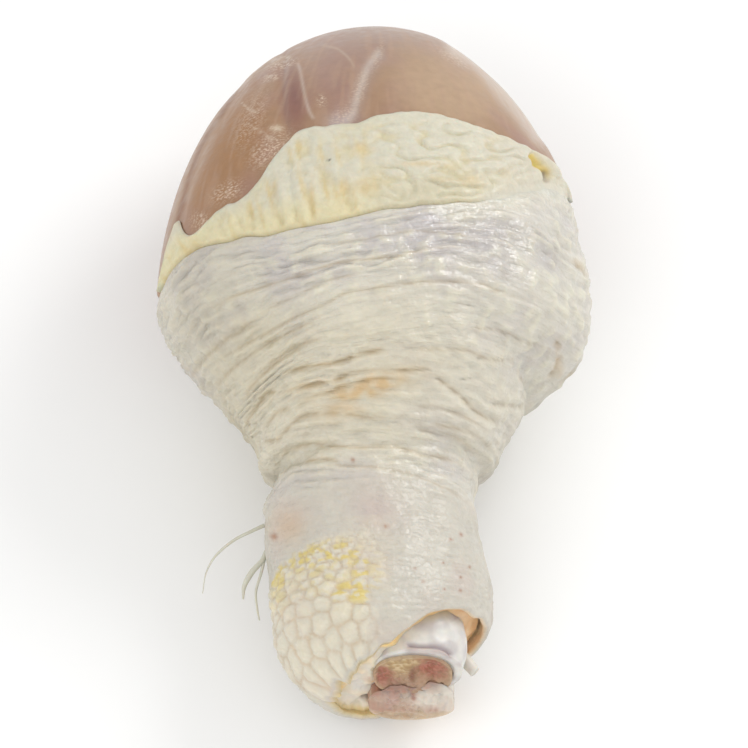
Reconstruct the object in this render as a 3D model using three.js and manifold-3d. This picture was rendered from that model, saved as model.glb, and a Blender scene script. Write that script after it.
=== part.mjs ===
// A raw chicken drumstick, lying on its shin side on a flat board.
// Millimetres, +Z up. The cut ankle points to -Y and the knee end to +Y.
// The skin, the fat, the meat and the bone are nested solids that share one form of the leg: a
// section at each station along it, with every layer a stated distance inside that form.
import * as THREE from "three";
import { mergeVertices } from "three/addons/utils/BufferGeometryUtils.js";
import Module from "manifold-3d";

// ---- Driving dimensions ----
const KNEE_REACH = 45.6; // from the widest station to the tip of the meat
const ANKLE_REACH = 60; // from the widest station to the end of the skin cuff
const GAP = 0.4; // clearance between neighbouring layers
const SKIN = 1.6; // thickness of the skin on the meat
const EDGE_SKIN = 1.0; // thickness of the skin at its upper edge
const CUFF_SKIN = 1.9; // thickness of the scaly skin at the ankle
const FLAT_BLEND = 0.8; // how softly a rounded underside runs into its flat spot
const CUT_TILT = 0.18; // the ankle cut leans back by this much for each mm of height
const KNEE_LEAN = 0.48; // the knee face leans out by this much for each mm of height
const KNEE_ROOM = 6; // the meat is cut back over this length past the knee face
const SHIFT = new THREE.Vector3(-0.2, 7.5, 0); // puts the origin under the middle of the piece

const TURN = 2 * Math.PI;

// ---- Small mathematics ----

// A smooth curve through [at, value] pairs, level beyond both ends.
function through(pairs) {
  const slope = (i) => {
    const before = pairs[Math.max(i - 1, 0)];
    const after = pairs[Math.min(i + 1, pairs.length - 1)];
    return (after[1] - before[1]) / (after[0] - before[0]);
  };
  return (at) => {
    if (at <= pairs[0][0]) return pairs[0][1];
    const i = pairs.findIndex((pair) => pair[0] >= at);
    if (i < 0) return pairs[pairs.length - 1][1];
    const [x0, y0] = pairs[i - 1];
    const [x1, y1] = pairs[i];
    const span = x1 - x0;
    const u = (at - x0) / span;
    const rest = 1 - u;
    return (
      rest * rest * (1 + 2 * u) * y0 +
      u * u * (1 + 2 * rest) * y1 +
      u * rest * span * (rest * slope(i - 1) - u * slope(i))
    );
  };
}

// The same round the leg: pairs are [degrees, value] from 0 up to below 360.
function around(pairs) {
  const turned = (by) => pairs.map(([at, value]) => [at + by, value]);
  const curve = through([...turned(-360), ...pairs, ...turned(360)]);
  return (angle) => curve((((angle / TURN) % 1) + 1) % 1 * 360);
}

// 0 at `from` and before it, 1 at `to` and past it, and smooth between, either way round.
function ramp(from, to, x) {
  const u = THREE.MathUtils.clamp((x - from) / (to - from), 0, 1);
  return u * u * (3 - 2 * u);
}

// A rounded hump of height 1 at `at`.
function hump(x, at, width) {
  return Math.exp(-(((x - at) / width) ** 2));
}

// The shorter way round from one angle to another, in degrees.
function degreesFrom(angle, degrees) {
  const turns = angle / TURN - degrees / 360;
  return 360 * (turns - Math.round(turns));
}

// ---- Form of the leg ----
// y runs along the leg from its widest station, and the angle goes round it: 0 is the right
// side, 90 degrees the top, 180 the left side and 270 the underside.

const halfLeft = through([
  [-60.5, 6.6], [-59, 9.0], [-57, 11.0], [-54.5, 12.8], [-51, 14.4], [-47, 15.0], [-41, 15.0],
  [-35, 15.8], [-30.5, 15.8], [-26.6, 13.9], [-24, 15.0], [-21, 16.8], [-18, 19.2],
  [-14.7, 22.0], [-11.5, 25.2], [-8, 28.6], [-4.5, 31.0], [-1.5, 31.8], [0, 31.8],
]);
const halfRight = through([
  [-60.5, 8.0], [-57, 11.5], [-52, 15.6], [-49, 17.0], [-46.5, 17.5], [-41, 16.9], [-35, 15.7],
  [-29.4, 14.7], [-27, 15.0], [-24.4, 16.2], [-21, 18.8], [-18, 21.0], [-15.5, 22.2],
  [-13, 23.5], [-11.4, 25.6], [-9.8, 28.4], [-8.2, 29.9], [-4, 31.0], [0, 31.1],
]);
const topHeight = through([
  [-60.5, 20], [-59, 22.3], [-57, 25], [-54, 27.2], [-48, 28], [-40, 28.2], [-33, 28.8],
  [-28, 30.6], [-24.5, 34], [-20, 38.6], [-15, 43.4], [-8, 47], [0, 48],
]);
const middleHeight = through([
  [-60.5, 12.6], [-50, 13.4], [-40, 13.8], [-30, 14.6], [-25, 16.2], [-20, 18.6], [-15, 21],
  [-8, 23.4], [0, 24], [20, 24], [45.6, 23],
]);
const bottomHeight = through([
  [-60.5, 5.5], [-58.5, 2.4], [-55, -0.2], [-50, -1.6], [-38, -1.8], [-32, 0.2], [-24, 1.6],
  [-16, 0], [-8, -2.2], [0, -2.6],
]);

// How far the sections have shrunk towards the tip of the knee end.
function kneeRound(y, out) {
  if (y <= 0) return 1;
  return Math.sqrt(Math.max(0, 1 - (y / (KNEE_REACH + out)) ** 2));
}

// Lifts what would sink below the level `floor`, with a soft turn into the flat.
function restOn(z, floor) {
  const above = z - floor;
  if (above >= FLAT_BLEND) return z;
  if (above <= -FLAT_BLEND) return floor;
  return floor + (above + FLAT_BLEND) ** 2 / (4 * FLAT_BLEND);
}

// A point `out` mm outside the form, or inside it where out is negative.
function onForm(y, angle, out) {
  const across = Math.cos(angle);
  const up = Math.sin(angle);
  const half = (across > 0 ? halfRight(y) : halfLeft(y)) + out;
  const middle = middleHeight(y);
  const reach = (up > 0 ? topHeight(y) - middle : middle - bottomHeight(y)) + out;
  const round = kneeRound(y, out);
  const z = middle + reach * up * round;
  return [half * across * round, y, restOn(z, Math.max(0, -out))];
}

// ---- Edges of the skin and the fat ----

const skinEdge = around([
  [0, 15], [14, 14], [25, 12.8], [34, 11], [42, 9], [50, 6.8], [57, 5], [64, 3.6], [74, 2.3],
  [84, 1.3], [96, -0.1], [108, -1.3], [118, -1.5], [130, -0.8], [140, 0], [149, 0.2],
  [158, -0.5], [167, -1.6], [182, -1], [205, 2.4], [232, 7], [270, 12], [315, 15.6],
]);
const cuffEdge = around([
  [0, -49.3], [25, -49.8], [42, -50.6], [56, -52.6], [67, -55.6], [80, -57], [98, -58.6],
  [125, -59.8], [150, -60.2], [180, -60], [215, -59.6], [245, -58.9], [270, -58.2],
  [288, -55.5], [305, -52], [325, -49.8], [343, -49.2],
]);
const fatEdge = through([
  [2, 15.8], [12, 16.8], [20, 17.6], [40, 18.2], [60, 18.8], [74, 19.4], [86, 18.5], [97, 16.4], [107, 16.1],
  [112, 15.6], [117, 12], [122, 7.8], [127, 5.8], [134, 4.9], [143, 2.9], [147, 3], [152, 6],
  [156, 7.3], [160, 4.2], [166, 0.8], [172, -0.4],
]);
const FAT_FROM = 5; // degrees
const FAT_TO = 171;
const FAT_TUCK = 4; // how far the fat runs on under the skin
const FAT_DEPTH = 2.3; // how much deeper its inner face lies there than at its upper edge
const FAT_SLOPE = 7; // over this length
const FAT_END = 0.07; // its two ends taper over this share of its length
const THIN_FAT = 0.4;
const RING_EDGE = 2.5; // the ring that becomes the skin's upper edge

// The station of a ring of skin. Rings are told apart by their station on top of the leg, and
// lean with the folds: back at the neck's sides, forward on the left flank.
function ringStation(ring, angle) {
  const atEdge = ramp(-13, RING_EDGE, ring) * (skinEdge(angle) - RING_EDGE);
  const atCuff = (1 - ramp(-ANKLE_REACH, -36, ring)) * (cuffEdge(angle) + ANKLE_REACH);
  const flank = -4.5 * hump(ring, -10, 7) * ((1 - Math.cos(angle)) / 2) ** 2;
  const neck = -2 * hump(ring, -27, 9) * Math.sin(angle);
  return ring + atEdge + atCuff + flank + neck;
}

// ---- Relief of the skin ----

const DEEPEST_FOLD = 0.9; // leaves some skin under every fold

// Folds that cross the leg: where they are, from and to which angle they run, and their size.
const FOLDS = [
  { ring: -3.0, rise: 0.6, from: 50, to: 120, depth: 0.5, width: 0.7 },
  { ring: -9.3, rise: 0.4, from: 20, to: 160, depth: 0.8, width: 0.8 },
  { ring: -14.2, rise: 0.8, from: 25, to: 88, depth: 0.6, width: 0.8 },
  { ring: -17.6, rise: -0.6, from: 88, to: 150, depth: 1.1, width: 0.9 },
  { ring: -19.8, rise: 0.7, from: 70, to: 168, depth: 0.9, width: 0.8 },
  { ring: -22.6, rise: -0.5, from: 92, to: 150, depth: 0.7, width: 0.8 },
  { ring: -24.2, rise: 0.9, from: 15, to: 66, depth: 0.8, width: 0.9 },
  { ring: -27.4, rise: 0.8, from: -30, to: 215, depth: 1.5, width: 1.1 },
  { ring: -30.2, rise: 0.4, from: 60, to: 140, depth: 0.5, width: 0.8 },
];

function foldDepth(ring, angle) {
  let depth = 0;
  for (const fold of FOLDS) {
    const middle = (fold.from + fold.to) / 2;
    const half = (fold.to - fold.from) / 2;
    const along = degreesFrom(angle, middle) / half;
    const there = 1 - ramp(0.7, 1.15, Math.abs(along));
    const at = fold.ring + fold.rise * Math.sin(2.4 * along);
    depth += fold.depth * there * hump(ring, at, fold.width);
  }
  return depth;
}

// Close-set wrinkles with round backs and narrow valleys, coarser towards the neck.
function wrinkles(ring, angle) {
  const wander = 0.35 * Math.sin(2 * angle + 0.6) + 0.22 * Math.sin(5 * angle + 2);
  const coarse = Math.abs(Math.sin(Math.PI * (ring / 4.1 + wander))) - 0.64;
  const fine = Math.abs(Math.sin(Math.PI * (ring / 2.7 - 1.3 * wander))) - 0.64;
  const onNeck = hump(ring, -19, 9);
  const onTop = ramp(-16, -4, ring);
  return 1.0 * onNeck * coarse + 0.5 * onTop * fine;
}

// The pouch of skin on the right flank ends in a notch, with a crease between it and the leg.
function pouch(y, angle) {
  const line = 24 - 0.9 * (y + 6);
  const crease = hump(degreesFrom(angle, line), 0, 7) * ramp(-17, -12, y) * (1 - ramp(2, 14, y));
  const swell = hump(degreesFrom(angle, -4), 0, 24) * hump(y, -3, 9);
  const notch = hump(degreesFrom(angle, 0), 0, 34) * hump(y, -13.6, 1.6);
  return 0.9 * swell - 1.3 * crease - 1.2 * notch;
}

function skinRelief(ring, angle) {
  const y = ringStation(ring, angle);
  const clear = ramp(-0.86, -0.55, Math.sin(angle)); // the flat underside stays flat
  const lumps = 0.3 * Math.sin(0.45 * y + 3 * angle) * Math.sin(4 * angle + 0.3 * y);
  const overhang = 0.9 * hump(ring, -24.6, 1.8) * ramp(0.2, 0.9, -Math.cos(angle));
  const free = ramp(RING_EDGE, RING_EDGE - 1.5, ring) * ramp(-ANKLE_REACH, -ANKLE_REACH + 3, ring);
  const folds = wrinkles(ring, angle) - foldDepth(ring, angle);
  return Math.max(-DEEPEST_FOLD, clear * (free * (folds + lumps) + overhang + pouch(y, angle)));
}

function skinThickness(y, angle) {
  const towardsEdge = ramp(-8, -1.5, y - skinEdge(angle));
  return SKIN + (CUFF_SKIN - SKIN) * ramp(-34, -44, y) - (SKIN - EDGE_SKIN) * towardsEdge;
}

// ---- Depths of the fat and the meat ----

// The inner face of the fat: thin on the meat at its upper edge, and deeper towards the skin. It
// has its full depth where the skin begins, so a narrow stretch of fat starts deeper.
function fatInner(y, angle) {
  const top = fatEdge((angle * 360) / TURN);
  const start = Math.max(top, skinEdge(angle) + FAT_SLOPE - 0.5);
  return -0.35 - FAT_DEPTH * ramp(start, start - FAT_SLOPE, y);
}

// The outer face of the fat: a raised soft pad that dips under the edge of the skin.
function fatOuter(y, angle) {
  const showing = ramp(0.8, 2.3, y - skinEdge(angle));
  const pleats = 0.25 * Math.sin(9 * angle + 0.5) * Math.sin(0.7 * y + 4 * angle);
  return showing * (0.55 + pleats) - (1 - showing) * (EDGE_SKIN + GAP + 0.4 * (1 - showing));
}

// Grooves between the muscles, each on its own line from the knee tip: degrees and depth.
const GROOVES = [
  { at: 44, sweep: -0.5, depth: 1.1, width: 7 },
  { at: 90, sweep: 0.15, depth: 1.3, width: 7 },
  { at: 112, sweep: 0.2, depth: 1.1, width: 6 },
  { at: 158, sweep: -0.3, depth: 1.3, width: 7 },
  { at: 215, sweep: 0, depth: 1.6, width: 9 },
  { at: 318, sweep: 0.2, depth: 1.6, width: 9 },
];

function meatRelief(y, angle) {
  let relief = 0.25 * Math.sin(3 * angle + 0.12 * y);
  for (const groove of GROOVES) {
    const line = groove.at + groove.sweep * (y - 20);
    relief -= groove.depth * hump(degreesFrom(angle, line), 0, groove.width);
  }
  const towardsTip = 1 - ramp(KNEE_REACH - 9, KNEE_REACH, y);
  return relief * towardsTip;
}

// The meat stands out to the form where it is bare, and lies under the skin and the fat.
function meatOut(y, angle) {
  const past = y - skinEdge(angle);
  const covered = skinThickness(y, angle) + GAP + 0.15;
  const uncovered = ramp(0.6, 4.2, past);
  const skinned = -covered + (covered + meatRelief(y, angle)) * uncovered;
  const degrees = (angle * 360) / TURN;
  const beside = ramp(FAT_FROM - 12, FAT_FROM - 2, degrees) * ramp(FAT_TO + 12, FAT_TO + 2, degrees);
  const below = ramp(-FAT_TUCK - 5, -FAT_TUCK - 1, past);
  const top = Math.max(fatEdge(degrees - 3), fatEdge(degrees), fatEdge(degrees + 3));
  const beyond = ramp(0.5, 4, y - top);
  const weight = beside * below * (1 - beyond);
  const aside = (3 * TURN) / 360;
  const lowest = Math.min(...[-aside, 0, aside].map((by) => fatInner(y, angle + by)));
  const underFat = lowest - GAP - 0.1;
  return Math.min(skinned, skinned + (underFat - skinned) * weight);
}

// ---- Solids from three.js geometries ----

// A LatheGeometry with one profile point for each stop, whose vertices are then placed by
// place(stop, angle). The stops run towards +y, from pole to pole, or close on themselves.
function turned(stops, sides, place) {
  const profile = stops.map((stop, row) => new THREE.Vector2(1, row));
  const geometry = new THREE.LatheGeometry(profile, sides);
  const position = geometry.getAttribute("position");
  for (let i = 0; i < position.count; i++) {
    const column = Math.floor(i / stops.length) % sides;
    const angle = ((sides - column) % sides / sides) * TURN;
    position.setXYZ(i, ...place(stops[i % stops.length], angle));
  }
  return bare(geometry);
}

// A slab of nu by nv cells whose two faces are placed by place(u, v, side), side +1 or -1.
function slab(nu, nv, place) {
  const geometry = new THREE.BoxGeometry(1, 1, 1, nu, nv, 1);
  const position = geometry.getAttribute("position");
  for (let i = 0; i < position.count; i++) {
    const u = position.getX(i) + 0.5;
    const v = position.getY(i) + 0.5;
    position.setXYZ(i, ...place(u, v, Math.sign(position.getZ(i))));
  }
  return bare(geometry);
}

// Only positions, with shared vertices, as a closed solid needs.
function bare(geometry) {
  geometry.deleteAttribute("normal");
  geometry.deleteAttribute("uv");
  return mergeVertices(geometry, 1e-4);
}

const wasm = await Module();
wasm.setup();

function solidOf(geometry) {
  const vertProperties = new Float32Array(geometry.getAttribute("position").array);
  const triVerts = new Uint32Array(geometry.index.array);
  return new wasm.Manifold(new wasm.Mesh({ numProp: 3, vertProperties, triVerts }));
}

function geometryOf(solid) {
  const mesh = solid.getMesh();
  const geometry = new THREE.BufferGeometry();
  const points = new THREE.BufferAttribute(new Float32Array(mesh.vertProperties), 3);
  geometry.setAttribute("position", points);
  geometry.setIndex(new THREE.BufferAttribute(new Uint32Array(mesh.triVerts), 1));
  return geometry;
}

function without(geometry, ...rooms) {
  return geometryOf(rooms.reduce((left, room) => left.subtract(solidOf(room)), solidOf(geometry)));
}

// `count` + 1 numbers, evenly spaced.
function steps(from, to, count) {
  return Array.from({ length: count + 1 }, (_, i) => from + ((to - from) * i) / count);
}

// ---- Skin: a sleeve from the ankle cuff to its edge on the meat ----

function skin() {
  const smoothRows = steps(-ANKLE_REACH, -32, 15);
  const foldedRows = steps(-31, RING_EDGE, 43);
  const innerRows = steps(RING_EDGE, -ANKLE_REACH, 20);
  const lip = 0.35; // the cut edges are rounded out by this much
  const outer = [...smoothRows, ...foldedRows].map((ring) => ({ ring, face: "out" }));
  const inner = innerRows.map((ring) => ({ ring, face: "in" }));
  const stops = [...outer, { ring: RING_EDGE, face: "upper rim" }, ...inner,
    { ring: -ANKLE_REACH, face: "cuff rim" }, outer[0]];
  return turned(stops, 38, ({ ring, face }, angle) => {
    const y = ringStation(ring, angle);
    const thick = skinThickness(y, angle);
    if (face === "out") return onForm(y, angle, skinRelief(ring, angle));
    if (face === "in") return onForm(y, angle, -thick);
    const outwards = face === "upper rim" ? lip : -lip;
    return onForm(y + outwards, angle, -thick / 2);
  });
}

// ---- Fat: the pad that shows between the skin's edge and the meat ----

// Its rows lie at these distances from the skin's edge, and then at shares of the way on up.
const FAT_ROWS_BY_SKIN = [-FAT_TUCK, -2.4, 0.4, 0.85, 1.5, 2.4];
const FAT_ROWS_ABOVE = [0.2, 0.4, 0.6, 0.8, 0.94, 1];

function fatRow(row, angle, top) {
  const edge = skinEdge(angle);
  const room = THREE.MathUtils.clamp((top - edge) / 3.4, 0.05, 1);
  const near = Math.min(row, FAT_ROWS_BY_SKIN.length - 1);
  const start = edge + FAT_ROWS_BY_SKIN[near] * (FAT_ROWS_BY_SKIN[near] > 0 ? room : 1);
  const share = row === near ? 0 : FAT_ROWS_ABOVE[row - near - 1];
  return start + (top - start) * share;
}

function fat() {
  const turnBack = 0.5; // the upper edge is rounded by this much
  const rows = FAT_ROWS_BY_SKIN.length + FAT_ROWS_ABOVE.length - 1;
  return slab(28, rows, (u, v, side) => {
    const degrees = FAT_TO + (FAT_FROM - FAT_TO) * u;
    const angle = (degrees * TURN) / 360;
    const row = Math.round(v * rows);
    const y = fatRow(row, angle, Math.max(fatEdge(degrees), skinEdge(angle) + 0.5));
    const inner = fatInner(y, angle);
    const plump = ramp(0, FAT_END, u) * ramp(1, 1 - FAT_END, u);
    const thick = fatOuter(y, angle) - inner - (row === rows ? turnBack : 0);
    return onForm(y, angle, side > 0 ? inner + Math.max(THIN_FAT, thick * plump) : inner);
  });
}

// ---- Meat: one mass with grooves between its muscles, bored for the bone ----

const MEAT_END = -38; // the meat stops inside the ankle

// The station of a row of the meat's surface: rows near the skin's edge run along it.
function meatStation(row, angle) {
  const offset = skinEdge(angle) - RING_EDGE;
  if (row <= RING_EDGE) return row + offset * ramp(-16, RING_EDGE - 4, row);
  const share = (row - RING_EDGE) / (KNEE_REACH - RING_EDGE);
  return KNEE_REACH - (KNEE_REACH - RING_EDGE - offset) * (1 - share);
}

function meat(boneRoom) {
  const capRows = [[0, 0], [0, 0.55], [0.35, 0.86], [1.2, 1]]; // distance from the end, share of width
  const cap = capRows.map(([inwards, share]) => ({ row: MEAT_END + inwards, share }));
  const sides = [-34, -30, -26, -22, -18, -14, -10, -6.5, -4, -1.5, 1, 3.1, 4.3, 5.5, 7];
  const dome = steps(0.2, TURN / 4, 12).map((a) => KNEE_REACH * Math.sin(a)).filter((y) => y > 8);
  const body = [...sides, ...dome].map((row) => ({ row, share: 1 }));
  const mass = turned([...cap, ...body], 40, ({ row, share }, angle) => {
    const y = meatStation(row, angle);
    const [x, , z] = onForm(y, angle, y > KNEE_REACH - 0.01 ? 0 : meatOut(y, angle));
    const middle = middleHeight(y);
    return [x * share, y, middle + (z - middle) * share];
  });
  return without(mass, boneRoom);
}

// ---- Bone: runs through the leg, from the cut at the ankle to the knee ----

const boneCentre = new THREE.CatmullRomCurve3([
  new THREE.Vector3(5.8, -58.2, 15.4), new THREE.Vector3(5.0, -50, 15.2),
  new THREE.Vector3(2.6, -38, 14.4), new THREE.Vector3(0.8, -18, 14.2),
  new THREE.Vector3(0, 5, 14.4), new THREE.Vector3(0, 28, 14.6), new THREE.Vector3(0, 42.4, 14.8),
]);
// Half-width of the bone against the share of its length from the ankle.
const boneWidth = through([
  [0, 5.7], [0.06, 6.2], [0.12, 5.6], [0.22, 4.0], [0.45, 3.6], [0.68, 4.2], [0.82, 6.8],
  [0.9, 9.4], [0.96, 10.2], [0.985, 9.7], [1, 8.6],
]);

// Height of the bone's section as a share of its width.
function boneFlatness(share) {
  return 0.8 - 0.06 * Math.cos(2 * TURN * share);
}

// grow makes the room that the bone needs in what surrounds it.
function bone(grow) {
  const shares = [...steps(0, 0.24, 6), ...steps(0.34, 0.7, 4), ...steps(0.77, 1, 7)];
  const body = shares.map((share) => ({ share, wide: 1 }));
  const stops = [{ share: 0, wide: 0 }, ...body, { share: 1, wide: 0 }];
  return turned(stops, 18, ({ share, wide }, angle) => {
    const centre = boneCentre.getPointAt(share);
    const half = (boneWidth(share) + grow) * wide;
    const x = half * Math.cos(angle);
    const z = (half - grow * wide) * boneFlatness(share) * Math.sin(angle) + grow * wide * Math.sin(angle);
    const cutLean = CUT_TILT * z * (1 - ramp(0, 0.12, share));
    const kneeLean = KNEE_LEAN * z * ramp(0.9, 1, share);
    const kneeRoom = grow > 0 ? KNEE_ROOM : 0;
    const endRoom = share >= 1 ? kneeRoom : share <= 0 ? -grow : 0;
    return [centre.x + x, centre.y + cutLean + kneeLean + endRoom, centre.z + z];
  });
}

// ---- What fills the ankle round the bone, and shows in the cut ----

// A lump: a sphere stretched to its half-sizes, then shaped by a function of its unit point.
function lump(centre, half, sides, rows, grow, shape) {
  const geometry = new THREE.SphereGeometry(1, sides, rows);
  const position = geometry.getAttribute("position");
  for (let i = 0; i < position.count; i++) {
    const point = new THREE.Vector3().fromBufferAttribute(position, i);
    const moved = shape(point);
    const size = new THREE.Vector3(...half).addScalar(grow);
    position.setXYZ(i, ...point.multiply(size).add(moved).add(new THREE.Vector3(...centre)));
  }
  return bare(geometry);
}

// White cartilage that wraps the top and the right of the bone's end, thick with a saddle.
function cartilage(grow) {
  const widen = grow > 0 ? 4 : 0; // degrees
  return slab(12, 6, (u, v, side) => {
    const degrees = THREE.MathUtils.lerp(165 + widen, -35 - widen, u);
    const angle = (degrees * TURN) / 360;
    const share = 0.02 + 0.085 * v;
    const centre = boneCentre.getPointAt(share);
    const plump = Math.sin(Math.PI * u) ** 0.6 * Math.sin(Math.PI * (0.12 + 0.8 * v)) ** 0.7;
    const thick = 0.35 + (2.3 - 0.8 * hump(u, 0.36, 0.13)) * plump;
    const off = GAP + (side > 0 ? thick + grow : -grow);
    const x = (boneWidth(share) + off) * Math.cos(angle);
    const z = (boneWidth(share) * boneFlatness(share) + off) * Math.sin(angle);
    return [centre.x + x, centre.y + grow * (2 * v - 1) + CUT_TILT * z, centre.z + z];
  });
}

// Pink gristle under the bone, down to the skin, and out to the right where the skin is cut back.
function gristle(grow) {
  return lump([4.6, -53.6, 6.7], [6.0, 5.2, 3.5], 18, 10, grow, (unit) => {
    const blunt = unit.y < 0 ? -0.5 * (1 - unit.y * unit.y) : 0;
    const cup = unit.z > 0 ? -0.5 * unit.z : 0;
    const wide = unit.x > 0 ? 2.2 * unit.x * ramp(-0.1, -0.6, unit.y) : 0;
    return new THREE.Vector3(wide, blunt, cup);
  });
}

// Pale tissue between the skin and the bone, set back from the cut on the right.
function ankleTissue(rooms) {
  const back = MEAT_END - GAP;
  const inset = -(CUFF_SKIN + GAP);
  const rows = [
    { at: 0, share: 0 }, { at: 0, share: 0.6 }, { at: 0, share: 1 },
    ...steps(0.15, 0.9, 5).map((at) => ({ at, share: 1 })),
    { at: 0.97, share: 0.93 }, { at: 1, share: 0.8 }, { at: 1, share: 0.45 }, { at: 1, share: 0 },
  ];
  const plug = turned(rows.reverse(), 18, ({ at, share }, angle) => {
    const front = cuffEdge(angle) + 2.4;
    const middleFront = -54.5;
    const end = middleFront + (front - middleFront) * share ** 2;
    const y = back + (end - back) * at;
    const [x, , z] = onForm(y, angle, inset);
    const middle = middleHeight(y);
    return [x * share, y, middle + (z - middle) * share];
  });
  return without(plug, ...rooms);
}

// ---- Slim things that follow a curve ----

// A tapered round strand along a curve, from the closed end at its root to its tip.
function strand(points, radiusAt, rows, sides) {
  const curve = new THREE.CatmullRomCurve3(points.map((p) => new THREE.Vector3(...p)));
  const frames = curve.computeFrenetFrames(rows);
  const body = steps(0, rows, rows).map((row) => ({ row, wide: 1 }));
  const stops = [{ row: 0, wide: 0 }, ...body, { row: rows, wide: 0 }];
  return turned(stops, sides, ({ row, wide }, angle) => {
    const radius = radiusAt(row / rows) * wide;
    return curve.getPointAt(row / rows)
      .addScaledVector(frames.normals[row], radius * Math.cos(angle))
      .addScaledVector(frames.binormals[row], -radius * Math.sin(angle))
      .toArray();
  });
}

function tendonStub() {
  const path = [[12.9, -52.9, 11.3], [13.8, -53.9, 11.3], [14.8, -55.1, 11.0]];
  return strand(path, (s) => 0.95 - 0.35 * s, 5, 8);
}

// Thread-like feather stubs that the plucking left on the left side of the ankle.
const ROOT_CLEAR = 0.35; // a filament starts this far off the skin
function longFilament() {
  const path = [[-15.7 - ROOT_CLEAR, -32.8, 14.6], [-17.6, -33.7, 14.6], [-20.4, -35.0, 14.0],
    [-23.0, -37.0, 13.0], [-24.4, -39.2, 11.8], [-24.9, -41.8, 10.4]];
  return strand(path, (s) => 0.3 - 0.18 * s, 13, 5);
}

function forkedFilament() {
  const root = [-15.4 - ROOT_CLEAR, -36.4, 13.4];
  const broad = [root, [-16.2, -37.8, 13.0], [-17.7, -39.4, 12.4], [-18.8, -41.2, 11.4],
    [-19.0, -42.8, 10.4]];
  const fine = [root, [-16.3, -39.4, 12.4], [-17.1, -42.0, 11.2], [-16.9, -44.4, 10.4],
    [-16.6, -46.0, 9.8]];
  const broadTine = strand(broad, (s) => 0.3 + 0.22 * Math.sin(Math.PI * s) - 0.15 * s, 11, 5);
  const fineTine = strand(fine, (s) => 0.24 - 0.1 * s, 10, 5);
  return geometryOf(solidOf(broadTine).add(solidOf(fineTine)));
}

// ---- The drumstick ----

const FINISHES = {
  skin: { color: "#d6d1c2", roughness: 0.45 },
  fat: { color: "#dfd8be", roughness: 0.4 },
  meat: { color: "#b59c88", roughness: 0.3 },
  bone: { color: "#c4a58a", roughness: 0.5 },
  cartilage: { color: "#d8d4c8", roughness: 0.3 },
  gristle: { color: "#bda590", roughness: 0.35 },
  tissue: { color: "#cfc6b4", roughness: 0.35 },
  feather: { color: "#c8c6b4", roughness: 0.5 },
};

const drumstick = new THREE.Group();

function piece(name, finish, geometry) {
  const mesh = new THREE.Mesh(geometry, new THREE.MeshStandardMaterial(FINISHES[finish]));
  mesh.name = name;
  drumstick.add(mesh);
}

piece("skin", "skin", skin());
piece("fat", "fat", fat());
piece("muscle", "meat", meat(bone(GAP)));
piece("tibia", "bone", bone(0));
piece("cartilage", "cartilage", cartilage(0));
piece("gristle", "gristle", gristle(0));
piece("ankle_tissue", "tissue", ankleTissue([bone(GAP), cartilage(GAP), gristle(GAP)]));
piece("tendon_stub", "cartilage", tendonStub());
piece("feather_long", "feather", longFilament());
piece("feather_forked", "feather", forkedFilament());

drumstick.position.copy(SHIFT);

export default drumstick;
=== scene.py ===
"""The looks of a raw chicken drumstick, made around its solid model. Blender units are metres.

The forms are worked out in leg millimetres: y runs along the leg from its widest station to the
knee, x to the right, z up from the board, and an angle goes round the leg: 0 is the right side,
90 degrees the top, 180 the left side and 270 the underside. Marks on the surface are placed on a
board plane: x to the right and v up, in millimetres, as seen from 60 degrees above the board.
"""
import math

import bpy
import numpy as np
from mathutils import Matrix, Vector, noise


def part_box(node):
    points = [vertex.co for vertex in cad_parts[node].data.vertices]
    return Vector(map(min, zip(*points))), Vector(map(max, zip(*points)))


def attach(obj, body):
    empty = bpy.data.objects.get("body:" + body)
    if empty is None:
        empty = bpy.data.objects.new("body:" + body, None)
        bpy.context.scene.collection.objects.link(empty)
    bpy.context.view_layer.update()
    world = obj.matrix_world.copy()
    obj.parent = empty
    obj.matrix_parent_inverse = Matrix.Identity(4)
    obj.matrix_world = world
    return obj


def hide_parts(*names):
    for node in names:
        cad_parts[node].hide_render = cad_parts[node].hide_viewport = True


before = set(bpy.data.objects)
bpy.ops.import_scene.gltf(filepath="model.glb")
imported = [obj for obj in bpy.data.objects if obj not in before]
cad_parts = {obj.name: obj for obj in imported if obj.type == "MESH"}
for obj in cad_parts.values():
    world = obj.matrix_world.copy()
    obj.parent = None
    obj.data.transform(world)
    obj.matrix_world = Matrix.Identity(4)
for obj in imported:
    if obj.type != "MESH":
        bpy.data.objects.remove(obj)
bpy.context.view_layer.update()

MM = 0.001
TURN = 2 * math.pi

# ---- Driving dimensions, in leg millimetres ----
KNEE_REACH = 45.6  # from the widest station to the tip of the meat
ANKLE_REACH = 60  # from the widest station to the end of the skin cuff
GAP = 0.4  # clearance between neighbouring layers
SKIN = 1.6
EDGE_SKIN = 0.42  # thickness of the skin at its upper edge
MERGED_SKIN = 0.1  # the same where it runs into the fat
SUNK = 0.12  # how far its edge sinks there
CUFF_SKIN = 1.9  # thickness of the scaly skin at the ankle
FLAP_THINNER = 0.9  # how much less the flap of the cuff has of it
FLAT_BLEND = 0.8  # how softly a rounded underside runs into its flat spot
CUT_TILT = 0.18  # lean of the ankle cut, for each mm of height
KNEE_LEAN = 0.48  # lean of the knee face, for each mm of height
RING_EDGE = 2.5  # the ring of skin that becomes its upper edge
FAT_FROM, FAT_TO = 5, 171  # degrees
FAT_TUCK = 4  # how far the fat runs on under the skin

BACK_END = -38  # the station where the meat ends inside the skin, and the ankle's filling begins
FILLED_TO = -57.5  # how far the filling of the ankle comes out round the bone
BONE_END = (5.8, -58.2, 15.4)  # the middle of the bone's cut face
FOOT = (4.9, 8.2)  # the middle of the gristle under it: across and up

LEG_SHIFT = np.array([-0.2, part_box("muscle")[1].y / MM - KNEE_REACH, 0])

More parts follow.
